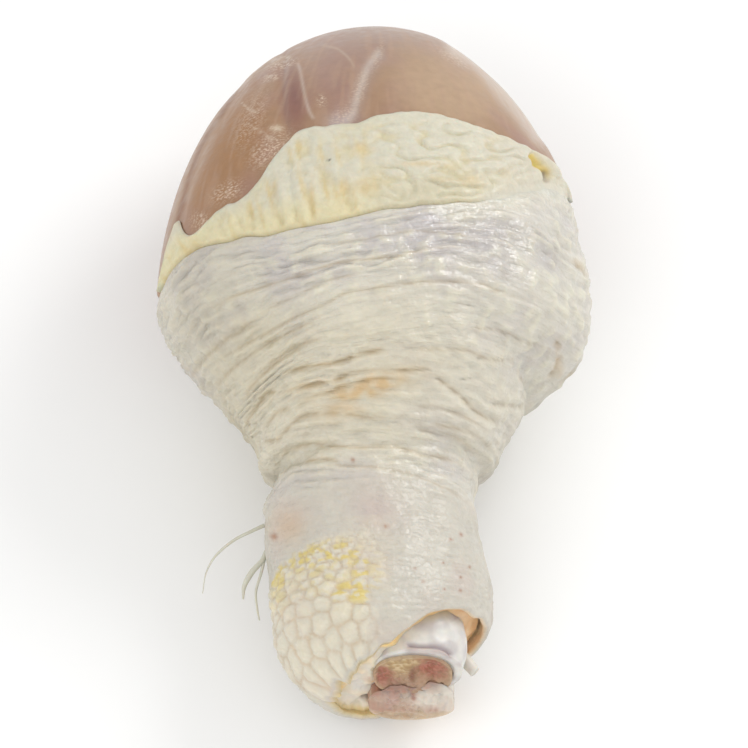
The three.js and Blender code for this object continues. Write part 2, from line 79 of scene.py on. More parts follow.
VIEW_TILT = math.radians(60)
VIEW_DISTANCE = 1200
VIEW_DEPTH = 14  # depth of the middle of the leg, from the board towards the viewer
VIEW_V = 1.04  # the middle of the view on the board plane
VIEW_MIDDLE = (0.148, -6.10, 12.64)  # the leg point in the middle of the view
VIEW_WIDTH = 110.81


# ---- Small mathematics, on arrays ----
def through(pairs):
    """A smooth curve through (at, value) pairs, level beyond both ends."""
    at, value = np.array(pairs, float).T
    order = np.arange(len(at))
    before = np.maximum(order - 1, 0)
    after = np.minimum(order + 1, len(at) - 1)
    slope = (value[after] - value[before]) / (at[after] - at[before])

    def curve(x):
        x = np.clip(x, at[0], at[-1])
        i = np.clip(np.searchsorted(at, x) - 1, 0, len(at) - 2)
        span = at[i + 1] - at[i]
        u = (x - at[i]) / span
        rest = 1 - u
        return (
            rest * rest * (1 + 2 * u) * value[i]
            + u * u * (1 + 2 * rest) * value[i + 1]
            + u * rest * span * (rest * slope[i] - u * slope[i + 1])
        )

    return curve


def around(pairs):
    """The same round the leg: pairs are (degrees, value) from 0 up to below 360."""
    curve = through([(at + by, value) for by in (-360, 0, 360) for at, value in pairs])
    return lambda angle: curve(np.degrees(angle) % 360)


def ramp(start, end, x):
    """0 at `start` and before it, 1 at `end` and past it, smooth between, either way round."""
    u = np.clip((x - start) / (end - start), 0, 1)
    return u * u * (3 - 2 * u)


def hump(x, at, width):
    """A bell of height 1 round `at`."""
    return np.exp(-(((x - at) / width) ** 2))


def faded(share, fade):
    """1 in the middle of a line, 0 at both its ends."""
    return ramp(0, fade, share) * ramp(1, 1 - fade, share)


def hump_round(angle, degrees, width):
    """A hump at an angle round the leg. Its place and its width are in degrees."""
    turns = angle / TURN - degrees / 360
    return hump(360 * (turns - np.round(turns)), 0, width)


def perlin(points, *scale, seed=0):
    """Smooth noise from about -1 to 1, with a grain of `scale` mm, or one for each column.

    Another seed takes another place in the noise, away from its zeros at whole numbers.
    """
    scaled = points / np.array(scale) + 17.3 * seed
    if scaled.shape[1] == 2:
        scaled = np.column_stack([scaled, np.full(len(scaled), 3.1 * seed + 0.5)])
    return 1.6 * np.array([noise.noise(Vector(p)) for p in scaled])


# ---- Form of the leg ----
half_left = through([
    (-60.5, 6.6), (-59, 9), (-57, 11), (-54.5, 12.8), (-51, 14.4), (-47, 15), (-41, 15),
    (-35, 15.8), (-30.5, 15.8), (-26.6, 13.9), (-24, 15), (-21, 16.8), (-18, 19.2),
    (-14.7, 22), (-11.5, 25.2), (-8, 28.6), (-4.5, 31), (-1.5, 31.8), (0, 31.8),
])
half_right = through([
    (-60.5, 8), (-57, 11.5), (-52, 15.6), (-49, 17), (-46.5, 17.5), (-41, 16.9),
    (-35, 15.7), (-29.4, 14.7), (-27, 15), (-24.4, 16.2), (-21, 18.8), (-18, 21),
    (-15.5, 22.2), (-13, 23.5), (-11.4, 25.6), (-9.8, 28.4), (-8.2, 29.9), (-4, 31), (0, 31.1),
])
top_height = through([
    (-60.5, 20), (-59, 22.3), (-57, 25), (-54, 27.2), (-48, 28), (-40, 28.2), (-33, 28.8),
    (-28, 30.6), (-24.5, 34), (-20, 38.6), (-15, 43.4), (-8, 47), (0, 48),
])
middle_height = through([
    (-60.5, 12.6), (-50, 13.4), (-40, 13.8), (-30, 14.6), (-25, 16.2), (-20, 18.6), (-15, 21),
    (-8, 23.4), (0, 24), (20, 24), (45.6, 23),
])
bottom_height = through([
    (-60.5, 5.5), (-58.5, 2.4), (-55, -0.2), (-50, -1.6), (-38, -1.8), (-32, 0.2), (-24, 1.6),
    (-16, 0), (-8, -2.2), (0, -2.6),
])


def knee_round(y, out):
    """How far the sections have shrunk towards the tip of the knee end."""
    return np.where(y <= 0, 1, np.sqrt(np.clip(1 - (y / (KNEE_REACH + out)) ** 2, 0, 1)))


def rest_on(z, floor):
    """Lifts what would sink below the level `floor`, with a soft turn into the flat."""
    above = np.clip((z - floor) / FLAT_BLEND, -1, 1)
    return np.where(z - floor >= FLAT_BLEND, z, floor + FLAT_BLEND * (above + 1) ** 2 / 4)


def on_form(y, angle, out):
    """Points `out` mm outside the form, or inside it where out is negative."""
    across, up = np.cos(angle), np.sin(angle)
    half = np.where(across > 0, half_right(y), half_left(y)) + out
    middle = middle_height(y)
    reach = np.where(up > 0, top_height(y) - middle, middle - bottom_height(y)) + out
    shrunk = knee_round(y, out)
    z = middle + reach * up * shrunk
    floor = np.maximum(0, -np.asarray(out, float))
    return np.column_stack([half * across * shrunk, y + 0 * angle, rest_on(z, floor)])


def narrowed(points, wide):
    """Leg points drawn in towards the middle line of the form, to a share of their width."""
    middle = middle_height(points[:, 1])
    x, y, z = points.T
    return np.column_stack([x * wide, y, middle + (z - middle) * wide])


def to_poles(v, face):
    """The share of the full width on a ball whose end faces take `face` of its rows each."""
    return np.minimum(1, np.minimum(v, 1 - v) / face)


def form_normals(y, angle):
    """Outward directions of the form, from its slopes along the leg and round it."""
    step = 0.2
    along = on_form(y + step, angle, 0) - on_form(y - step, angle, 0)
    round_it = on_form(y, angle + 0.01, 0) - on_form(y, angle - 0.01, 0)
    normals = np.cross(along, round_it)
    return normals / np.maximum(np.linalg.norm(normals, axis=1), 1e-9)[:, None]


def seen(points):
    """Leg points as (x, v) on the board plane."""
    depth = points[:, 2] * math.sin(VIEW_TILT) - points[:, 1] * math.cos(VIEW_TILT) - VIEW_DEPTH
    v = points[:, 1] * math.sin(VIEW_TILT) + points[:, 2] * math.cos(VIEW_TILT) - VIEW_V
    nearer = VIEW_DISTANCE / (VIEW_DISTANCE - depth)
    return np.column_stack([points[:, 0], v]) * nearer[:, None]


# ---- Edges of the skin and the fat ----
skin_line = around([
    (0, 15), (14, 14), (25, 12.8), (34, 11), (42, 9), (50, 6.8), (57, 5), (64, 3.6), (74, 2.3),
    (84, 1.3), (96, -0.1), (108, -1.3), (118, -1.5), (130, -0.8), (140, 0), (149, 0.2),
    (158, -0.5), (167, -1.6), (182, -1), (205, 2.4), (232, 7), (270, 12), (315, 15.6),
])
cuff_line = around([
    (0, -49.3), (25, -49.8), (42, -50.6), (56, -52.6), (67, -55.6), (80, -57), (98, -58.6),
    (125, -59.8), (150, -60.2), (180, -60), (215, -59.6), (245, -58.9), (270, -58.2),
    (288, -55.5), (305, -52), (325, -49.8), (343, -49.2),
])


def skin_edge(angle):
    """The station of the skin's slightly ragged upper edge."""
    place = 26 * np.column_stack([np.cos(angle), np.sin(angle), 0 * angle])
    return skin_line(angle) + 0.3 * perlin(place, 3.2, seed=71)


def merged_at(angle):
    """1 on the right, where the skin thins out and runs into the fat."""
    return ramp(0.42, 0.6, np.cos(angle)) * ramp(-0.5, -0.1, np.sin(angle))


def sunk_edge(y, angle):
    """How far the thin edge of the skin has sunk there, towards the fat under it."""
    return SUNK * merged_at(angle) * ramp(-1.8, 0, y - skin_edge(angle))


def cuff_edge(angle):
    """The station of the free end of the skin at the ankle."""
    place = 15 * np.column_stack([np.cos(angle), np.sin(angle), 0 * angle])
    return cuff_line(angle) + 0.35 * perlin(place, 2.4, seed=72)


fat_edge = through([
    (2, 15.8), (12, 16.8), (20, 17.6), (40, 18.2), (60, 18.8), (74, 19.4), (86, 18.5), (97, 16.4),
    (107, 16.1),
    (112, 15.6), (117, 12), (122, 7.8), (127, 5.8), (134, 4.9), (143, 2.9), (147, 3), (152, 6),
    (156, 7.3), (160, 4.2), (166, 0.8), (172, -0.4),
])


def ring_station(ring, angle):
    """The station of a ring of skin, told by its station on top of the leg.

    The rings at both ends follow the edge and the cuff, and the creases sag on the left flank.
    """
    at_edge = ramp(-13, RING_EDGE, ring) * (skin_edge(angle) - RING_EDGE)
    at_cuff = (1 - ramp(-ANKLE_REACH, -36, ring)) * (cuff_edge(angle) + ANKLE_REACH)
    flank = -4.5 * hump(ring, -10, 7) * ((1 - np.cos(angle)) / 2) ** 2
    neck = -2 * hump(ring, -27, 9) * np.sin(angle)
    return ring + at_edge + at_cuff + flank + neck


def skin_thickness(y, angle):
    """Thin along its upper edge, thick at the ankle, thin again where the cuff has its flap."""
    towards_edge = ramp(-8, -0.5, y - skin_edge(angle))
    towards_flap = ramp(9, 1, y - cuff_edge(angle)) * ramp(-0.1, 0.6, np.cos(angle - 0.2))
    edge = EDGE_SKIN + (MERGED_SKIN - EDGE_SKIN) * merged_at(angle)
    thick = SKIN + (CUFF_SKIN - SKIN) * ramp(-34, -44, y) - (SKIN - edge) * towards_edge
    return thick - FLAP_THINNER * towards_flap


# ---- Marks on the board plane ----
def smooth_line(points, steps=6):
    """Points along a smooth line through a few given ones."""
    p = np.array(points, float)
    p = np.vstack([2 * p[0] - p[1], p, 2 * p[-1] - p[-2]])
    found = []
    for a, b, c, d in zip(p[:-3], p[1:-2], p[2:-1], p[3:]):
        for u in np.arange(steps) / steps:
            found.append(
                0.5 * (2 * b + (c - a) * u + (2 * a - 5 * b + 4 * c - d) * u**2
                       + (3 * b - a - 3 * c + d) * u**3)
            )
    return np.array(found + [p[-2]])


def beside(marks, points, reach):
    """For each mark: its distance from a smooth line, positive above it, and its share along it.

    Marks farther than `reach` mm from the line's box are given a distance of 99.
    """
    line = smooth_line(points)
    low, high = line.min(0) - reach, line.max(0) + reach
    near = np.all((marks > low) & (marks < high), axis=1)
    away = np.full(len(marks), 99.0)
    share = np.zeros(len(marks))
    if not near.any():
        return away, share
    at = marks[near]
    start, step = line[:-1], line[1:] - line[:-1]
    length = np.linalg.norm(step, axis=1)
    from_start = at[:, None, :] - start[None]
    t = np.clip((from_start * step).sum(2) / length**2, 0, 1)
    offset = from_start - t[..., None] * step
    distance = np.linalg.norm(offset, axis=2)
    best = distance.argmin(1)
    pick = np.arange(len(at))
    before = np.concatenate([[0], np.cumsum(length)])
    side = step[best, 0] * offset[pick, best, 1] - step[best, 1] * offset[pick, best, 0]
    away[near] = distance[pick, best] * np.where(side < 0, -1, 1)
    share[near] = (before[best] + t[pick, best] * length[best]) / before[-1]
    return away, share


def stroke(marks, points, width, fade=0.12):
    """A soft stroke of height 1 along a smooth line, fading out towards both its ends."""
    away, share = beside(marks, points, 3 * width)
    ends = faded(share, fade) if fade else 1
    return hump(away, 0, width) * ends


def spot(marks, centre, half, turn=0, edge=1):
    """A soft-edged oval of height 1. A larger `edge` makes its rim harder."""
    away = marks - np.array(centre)
    c, s = math.cos(math.radians(turn)), math.sin(math.radians(turn))
    x = (away[:, 0] * c + away[:, 1] * s) / half[0]
    y = (away[:, 1] * c - away[:, 0] * s) / half[1]
    return np.exp(-((x * x + y * y) ** edge))


# ---- Colours ----
def tint(red, green, blue):
    """Scene colour of a display colour from 0 to 255."""
    value = np.array([red, green, blue], float) / 255
    return np.where(value <= 0.04045, value / 12.92, ((value + 0.055) / 1.055) ** 2.4)


MERGED_TINT = (217, 211, 194)
PAINT_DEPTH = 0.87  # all tints are darkened by this under the bright studio light


# ---- Meshes ----
def deselect():
    if bpy.context.object and bpy.context.object.mode != "OBJECT":
        bpy.ops.object.mode_set(mode="OBJECT")
    bpy.ops.object.select_all(action="DESELECT")


def named(name):
    piece = bpy.context.object
    piece.name = piece.data.name = name
    return piece


def corners(piece):
    flat = np.zeros(3 * len(piece.data.vertices))
    piece.data.vertices.foreach_get("co", flat)
    return flat.reshape(-1, 3)


def turn_outwards():
    """Turns the faces of the piece outwards and shades them smooth."""
    bpy.ops.object.mode_set(mode="EDIT")
    bpy.ops.mesh.select_all(action="SELECT")
    bpy.ops.mesh.normals_make_consistent(inside=False)
    bpy.ops.object.mode_set(mode="OBJECT")
    bpy.ops.object.shade_smooth()


def put(piece, leg_points):
    """Moves the vertices to leg points, in millimetres."""
    place = (leg_points + LEG_SHIFT) * MM
    piece.data.vertices.foreach_set("co", place.ravel())
    piece.data.update()
    turn_outwards()


def paint(piece, ground, washes=(), marks=None, shown=1, **grades):
    """Paints the vertices: a ground, then one wash over another.

    A wash is a colour and its weight, or a colour, its strength, a place among the marks and the
    other arguments of a spot, or of a stroke where the place is a list of points. Any other grade
    from 0 to 1 is stored by its own name.
    """
    colours = np.tile(tint(*ground), (len(piece.data.vertices), 1))
    for colour, weight, *form in washes:
        if form:
            daub = stroke if isinstance(form[0], list) else spot
            weight = weight * daub(marks, *form) * shown
        colours += (tint(*colour) - colours) * np.clip(weight, 0, 1)[:, None]
    attribute = piece.data.color_attributes.new("tint", "FLOAT_COLOR", "POINT")
    rgba = np.column_stack([np.clip(PAINT_DEPTH * colours, 0, 1), np.ones(len(colours))])
    attribute.data.foreach_set("color", rgba.astype(np.float32).ravel())
    for name, values in grades.items():
        grade = piece.data.attributes.new(name, "FLOAT", "POINT")
        grade.data.foreach_set("value", np.asarray(values, np.float32))


def sleeve(name, rows, sides):
    """A closed sleeve from a torus: the row and the column of each vertex."""
    deselect()
    bpy.ops.mesh.primitive_torus_add(
        major_segments=sides, minor_segments=rows, major_radius=30 * MM, minor_radius=10 * MM
    )
    piece = named(name)
    x, y, z = corners(piece).T
    column = np.round(np.arctan2(y, x) / TURN * sides).astype(int) % sides
    turn = np.arctan2(z, np.hypot(x, y) - 30 * MM)
    return piece, np.round(turn / TURN * rows).astype(int) % rows, column


def ball(name, rows, sides):
    """A ball: for each vertex its share of the way from the front pole, and its angle."""
    deselect()
    bpy.ops.mesh.primitive_uv_sphere_add(segments=sides, ring_count=rows, radius=30 * MM)
    piece = named(name)
    x, y, z = (corners(piece) / (30 * MM)).T
    return piece, np.arccos(np.clip(z, -1, 1)) / math.pi, np.arctan2(y, x)


def slab(name, columns, rows):
    """A sheet extruded to a slab: u and v across it, and whether a vertex is on its outer face."""
    deselect()
    bpy.ops.mesh.primitive_grid_add(x_subdivisions=columns, y_subdivisions=rows, size=1)
    piece = named(name)
    bpy.ops.object.mode_set(mode="EDIT")
    bpy.ops.mesh.select_all(action="SELECT")
    bpy.ops.mesh.extrude_region_move(TRANSFORM_OT_translate={"value": (0, 0, 1)})
    bpy.ops.object.mode_set(mode="OBJECT")
    x, y, z = corners(piece).T
    return piece, x + 0.5, y + 0.5, z > 0.5


# ---- Skin ----
# Lines that the wrinkles follow over the leg: a level, and places on the board plane.
FLOW = [
    (-34, [(-18, -37), (-8, -34.5), (0, -34), (8, -34.5), (18, -37)]),
    (-20, [(-18, -24), (-8, -20.6), (0, -20), (8, -20.6), (18, -24)]),
    (-10.8, [(-19, -18), (-16, -15), (-12.3, -11.4), (-9.9, -10.6), (-2, -10.8), (4.7, -11.1),
             (9.9, -12.4), (14.7, -14.4), (19, -17)]),
    (-6, [(-23, -16), (-18.5, -11.6), (-13.2, -8.3), (-10.4, -6.4), (-4.7, -5.9), (2.1, -6.2),
          (8, -7), (14, -8.6), (20, -11.5)]),
    (2.6, [(-25, -13.5), (-21, -8.4), (-17.4, -4.2), (-13.8, -0.8), (-10.8, 0.7), (-7.8, 1.6),
           (-4, 1.9), (-2.2, 2.7), (4.6, 3.6), (9.9, 3.3), (15.9, 2.2), (25, -2.6), (30, -6)]),
    (8.4, [(-27, -11), (-22.5, -6.2), (-18, -2.2), (-14, 1), (-10.8, 3.4), (-8.4, 5), (-4.9, 5.6),
           (0, 6.6), (5, 7.7), (12, 8.2), (18, 7), (25, 3.6), (31, 0)]),
    (13.8, [(-29.5, -5.5), (-24, -0.2), (-20, 3), (-16, 5.8), (-10.8, 8.8), (-7, 10.5), (-4, 12),
            (2.5, 13.1), (9.9, 13.8), (18, 12.6), (25.5, 9.6), (31, 5)]),
    (18, [(-31.5, 0.5), (-28, 5), (-24, 8.4), (-20, 10.8), (-16, 12.8), (-10.8, 14.8), (-7, 15.7),
          (-4, 16.6), (1, 17.1), (7, 18.4), (13, 18.9), (18, 18), (25, 14.6), (31.5, 8.5)]),
    (23.7, [(-31.5, 11.5), (-27.5, 17), (-24, 19.1), (-18.2, 20.1), (-12.3, 21), (-6.4, 22.5),
            (1, 24), (8.4, 24.9), (14.4, 25.2), (20, 24.4), (26, 21.5), (32, 15.5)]),
]
# Folds that cross the skin: points on the board plane, depth and half-width in mm, and the
# colour of the valley: 0 violet, 1 ochre. Every valley is also painted darker, as its shade.
FOLDS = [
    ([(-26.6, 8), (-21.5, 11), (-16, 13), (-10.8, 14.7), (-7.8, 15.7), (-4.1, 16.6), (1.8, 17.2),
      (4, 17.5), (7, 18.4), (9.9, 18.7), (13.6, 18.8)], 0.5, 0.26, 0.3),
    ([(-17, 8.8), (-10.8, 11.9), (-7.8, 13.3), (-5.5, 14.2), (-1, 15.2)], 0.3, 0.3, 0.1),
    ([(-25.9, 0), (-19.7, 3.9), (-14, 7), (-10.8, 8.8), (-7, 10.4), (-4, 12), (-1, 12.6), (2.5, 13),
      (5.5, 13.5), (9.9, 13.7), (15.3, 13.5), (18.8, 12.2), (25.5, 10.2), (28, 9.2)], 0.5, 0.3, 0.3),
    ([(-9.2, 18.7), (-1, 20), (6, 21.2), (13, 20.6), (17.5, 19.4)], 0.3, 0.3, 0.1),
    ([(-27.4, -1.2), (-24.6, 2.6), (-20.6, 5.9), (-17, 8.3)], 0.45, 0.45, 0.3),
    ([(-23.9, -3.1), (-21.4, 0.2), (-17, 3.6), (-12.3, 6.2), (-7.6, 8.4)], 0.4, 0.4, 0.3),
    ([(-19.6, -4.6), (-17.2, -1), (-13.8, 2.2), (-9.6, 4.8), (-6.1, 5.7)], 0.5, 0.45, 0.5),
    ([(-13.8, -1.2), (-12.6, 0.3), (-8.9, 1.2), (-4.7, 1.9), (-2.2, 2.8), (3, 3.9)], 1, 0.33, 1),
    ([(-15, -3.3), (-9.2, -1.5), (-5.8, -1), (-2.7, 0.3), (2.5, 0.4), (6.7, 0.6),
      (9.9, 0.7)], 0.8, 0.33, 0.8),
    ([(-11.6, -5.2), (-9.5, -3.7), (-6.7, -2.7), (-3.3, -1.5), (1, -0.6), (5, -0.9)], 0.8, 0.35, 1),
    ([(-19, -8.4), (-18.1, -5.9), (-17, -4.4), (-16, -3.1), (-13.8, -2.6)], 0.7, 0.35, 0.8),
    ([(-16.9, -11.5), (-15.3, -9.6), (-13.2, -9.2), (-10.4, -6.2), (-7.6, -5.8), (-4.7, -5.9),
      (-0.4, -6.5), (2.1, -6.2)], 0.7, 0.4, 0.7),
    ([(-16.2, -8), (-14, -5.6), (-11.6, -4.9)], 0.6, 0.35, 0.6),
    ([(-14.6, -13.9), (-13, -11.6), (-9.9, -10.5), (-5.9, -10.7), (-1.9, -10.8), (2.4, -10.7),
      (4.7, -11.1), (7.3, -12), (9.9, -12.4), (12.1, -12.9), (14.7, -14.2)], 0.5, 0.3, 0.8),
    ([(-11, -12.9), (-7.6, -12.6), (-4.7, -12.9)], 0.6, 0.28, 0.9),
    ([(-8, -13.6), (-1.9, -13.6), (5, -14.6), (10.5, -16.8), (14.8, -19.4)], 0.3, 0.3, 0.2),
    ([(4, 3.6), (8.4, 3.6), (13.3, 3.6), (17.3, 2.2), (22.7, 2.1)], 0.5, 0.4, 0.2),
    ([(13.8, 6.8), (19, 6.4), (22.6, 4.6), (25.4, 3.9)], 0.4, 0.35, 0.2),
    ([(4, 0.3), (9.2, 0.7)], 0.3, 0.35, 0.7),
    ([(8.4, 0.2), (11.9, -2.4), (13.3, -3.6), (15.3, -5.6), (19.3, -7.6)], 0.8, 0.45, 0.3),
    ([(5.4, -4.6), (9.6, -5), (13.6, -6.2), (17, -8.9)], 0.5, 0.4, 0.3),
    ([(8.1, -7.1), (10.2, -7.6), (12.3, -8), (14.2, -8.6), (17.4, -11.2)], 0.6, 0.36, 0.5),
    ([(5.1, -7.7), (7.1, -8.3), (11.3, -9.2), (13.3, -10.1), (16.3, -12.6)], 0.5, 0.32, 0.4),
    ([(17.3, -4.4), (20, -4.7), (22.7, -4.9)], 0.5, 0.4, 0.2),
    ([(27.3, 5.8), (27.4, 3.1), (26.6, 0.9), (25.6, -1.1)], 0.6, 0.26, 0.6),
    ([(32.1, 9), (31.4, 5.6), (30.8, 3.1), (29.2, 0.6), (26.8, -1.3)], 0.5, 0.45, 0.3),
    ([(29.2, 17.3), (30.2, 15.9), (31, 14.1)], 0.6, 0.45, 0.6),
]
# Marks of pores on the ankle: place on the board plane and half-size.
PORES = [
    (-3, -12.7, 0.3), (1.9, -22.5, 0.3), (12.9, -23.9, 0.3), (11.4, -24.6, 0.25),
    (10.5, -27.9, 0.2), (14.4, -28.6, 0.2), (13, -30.1, 0.2), (10.5, -31.9, 0.2),
    (12.9, -32.1, 0.2), (-14.7, -24.1, 0.45), (6.2, -28.8, 0.2), (7.5, -30.8, 0.2),
]
SCALES_FROM = -41.5  # the station where the scales of the ankle start
SCALE_ARC = 15.5  # radius that the scales are laid out on
GIRTH_RADIUS = 24  # radius that the fine lines in the material of the skin are laid out on


def flow_level(marks):
    """How far up the leg a mark lies, told along the lines that the wrinkles follow."""
    x, v = marks.T
    heights = np.array([through(line)(x) for _, line in FLOW])
    levels = np.array([level for level, _ in FLOW], float)
    i = np.clip((v > heights).sum(0), 1, len(FLOW) - 1)
    pick = np.arange(len(x))
    below, above = heights[i - 1, pick], heights[i, pick]
    share = (v - below) / np.maximum(above - below, 0.5)
    return levels[i - 1] + share * (levels[i] - levels[i - 1])


def folds(marks, shown):
    """Relief of the folds with a swelling on either side, their valleys, and the ochre ones; the valleys are
    for painted shade.
    """
    relief, valley, ochre_valley = np.zeros((3, len(marks)))
    for points, depth, width, ochre in FOLDS:
        away, share = beside(marks, points, 7 * width)
        ends = faded(share, 0.18) * shown
        dip = hump(away, 0, width) * ends
        relief += 0.44 * depth * (0.6 * hump(away, 2.6 * width, 1.7 * width) * ends - dip)
        relief += 0.36 * depth * hump(away, -2.4 * width, 1.7 * width) * ends
        line = hump(away, 0, 0.6 * width) * ends * min(1, 0.25 + 0.6 * depth)
        valley = np.maximum(valley, line)
        ochre_valley = np.maximum(ochre_valley, ochre * hump(away, 0, 1.1 * width) * ends * depth)
    return relief, valley, ochre_valley


def wrinkles(along, level, period, length, seed):
    """Round-backed wrinkles with narrow valleys: their height, and 1 down in a valley."""
    place = np.column_stack([along, level])
    bend = perlin(place, 1.3 * length, 7 * period, seed=seed)
    jog = 0.4 * perlin(place, 0.35 * length, 1.6 * period, seed=seed + 1)
    wave = np.abs(np.cos(math.pi * (level / period + bend + jog)))
    strength = np.clip(0.6 + perlin(place, 0.7 * length, 2.2 * period, seed=seed + 2), 0.1, 1.3)
    return (wave - 0.64) * strength, np.clip(1 - 2.2 * wave, 0, 1) * strength


def scale_cells():
    """The ankle's scales: centres as (arc, station), sizes, how yellow and how plain each is."""
    draw = np.random.RandomState(7)
    cells = []
    first_high, last_high, growth = 0.72, 2.9, 1.145  # from row to row, down to the cuff
    station, high, odd = SCALES_FROM + 0.8, first_high, 0
    while station > -ANKLE_REACH - 1:
        wide = 1.3 * high
        tall = 0.9 * high
        for along in np.arange(-9, 30, wide) + odd * wide / 2:
            aside = max(0, along - 10)  # the side turns away, so the scales are wider there
            spread = 1 + 0.05 * aside
            cells.append((
                along + 0.025 * aside**2 + draw.uniform(-0.3, 0.3) * wide,
                station + draw.uniform(-0.3, 0.3) * tall,
                wide * spread * draw.uniform(0.8, 1.2), tall * draw.uniform(0.8, 1.2), draw.uniform(0, 1),
            ))
        odd = 1 - odd
        station -= tall
        high = min(last_high, high * growth)
    arc, station, wide, high, chance = np.array(cells).T
    marks = seen(on_form(station, arc / SCALE_ARC + math.pi / 2, 0))
    yellow = 1.4 * stroke(marks, [(-14.6, -29), (-13, -27.4), (-8, -26.8), (-4.5, -26.6), (-1.8, -28.4),
                                  (-1.9, -30.4), (-4.2, -32.6)], 1.6, 0)
    yellow += stroke(marks, [(-14.6, -29.6), (-14.2, -33.6)], 0.9, 0)
    yellow += 0.45 * spot(marks, (-6, -30), (7, 3.4))
    there = ramp(SCALES_FROM + 0.8, SCALES_FROM - 1.2, station + 0.16 * np.minimum(arc, 18) - 1.2)
    there *= ramp(-4.4, 3.4, arc - 0.5 * hump(station, -52, 5)) * ramp(36, 29, arc)
    there *= 0.7 + 0.4 * (chance * 7 % 1)
    yellow = np.clip(yellow * (0.5 + 0.8 * chance), 0, 1) * ramp(0, 0.4, there)
    return arc, station, wide, high, yellow, np.clip(there, 0, 1)


def ankle_scales(arc, station):
    """Relief of the scales, how yellow they are, the grooves between them, and their strength."""
    cell_arc, cell_station, wide, high, yellow, there = scale_cells()
    relief, tone, groove, strength = np.zeros((4, len(arc)))
    near = np.flatnonzero((station < SCALES_FROM + 3) & (arc > -6) & (arc < 37))
    for part in np.array_split(near, 40):
        x = (arc[part, None] - cell_arc) / wide
        y = (station[part, None] - cell_station) / high
        away = np.sqrt(x * x + y * y)
        order = np.argsort(away, axis=1)[:, :2]
        rows = np.arange(len(part))
        nearest, second = away[rows, order[:, 0]], away[rows, order[:, 1]]
        gap = second - nearest
        size = np.minimum(1, wide[order[:, 0]] / 2.4)
        relief[part] = (1 - np.exp(-((gap / 0.42) ** 1.4))) * (0.35 + 0.65 * size)
        groove[part] = np.exp(-((gap / 0.14) ** 2)) * (0.35 + 0.65 * size)
        tone[part] = yellow[order[:, 0]] * np.clip(1.5 * (1 - nearest), 0, 1)
        strength[part] = (there[order[:, 0]] + there[order[:, 1]]) / 2
    return relief, tone, groove, strength


def store_flow(piece, turned, level):
    """Stores how far round and how far up the leg each corner lies, for the fine lines."""
    uv = piece.data.uv_layers.new(name="along")
    corner = np.zeros(len(piece.data.loops), int)
    piece.data.loops.foreach_get("vertex_index", corner)
    turned = turned[corner].reshape(-1, 4)
    turned = np.where(turned.max(1, keepdims=True) - turned > math.pi, turned + TURN, turned)
    flat = np.column_stack([turned.ravel() * GIRTH_RADIUS, level[corner]])
    uv.data.foreach_set("uv", flat.astype(np.float32).ravel())


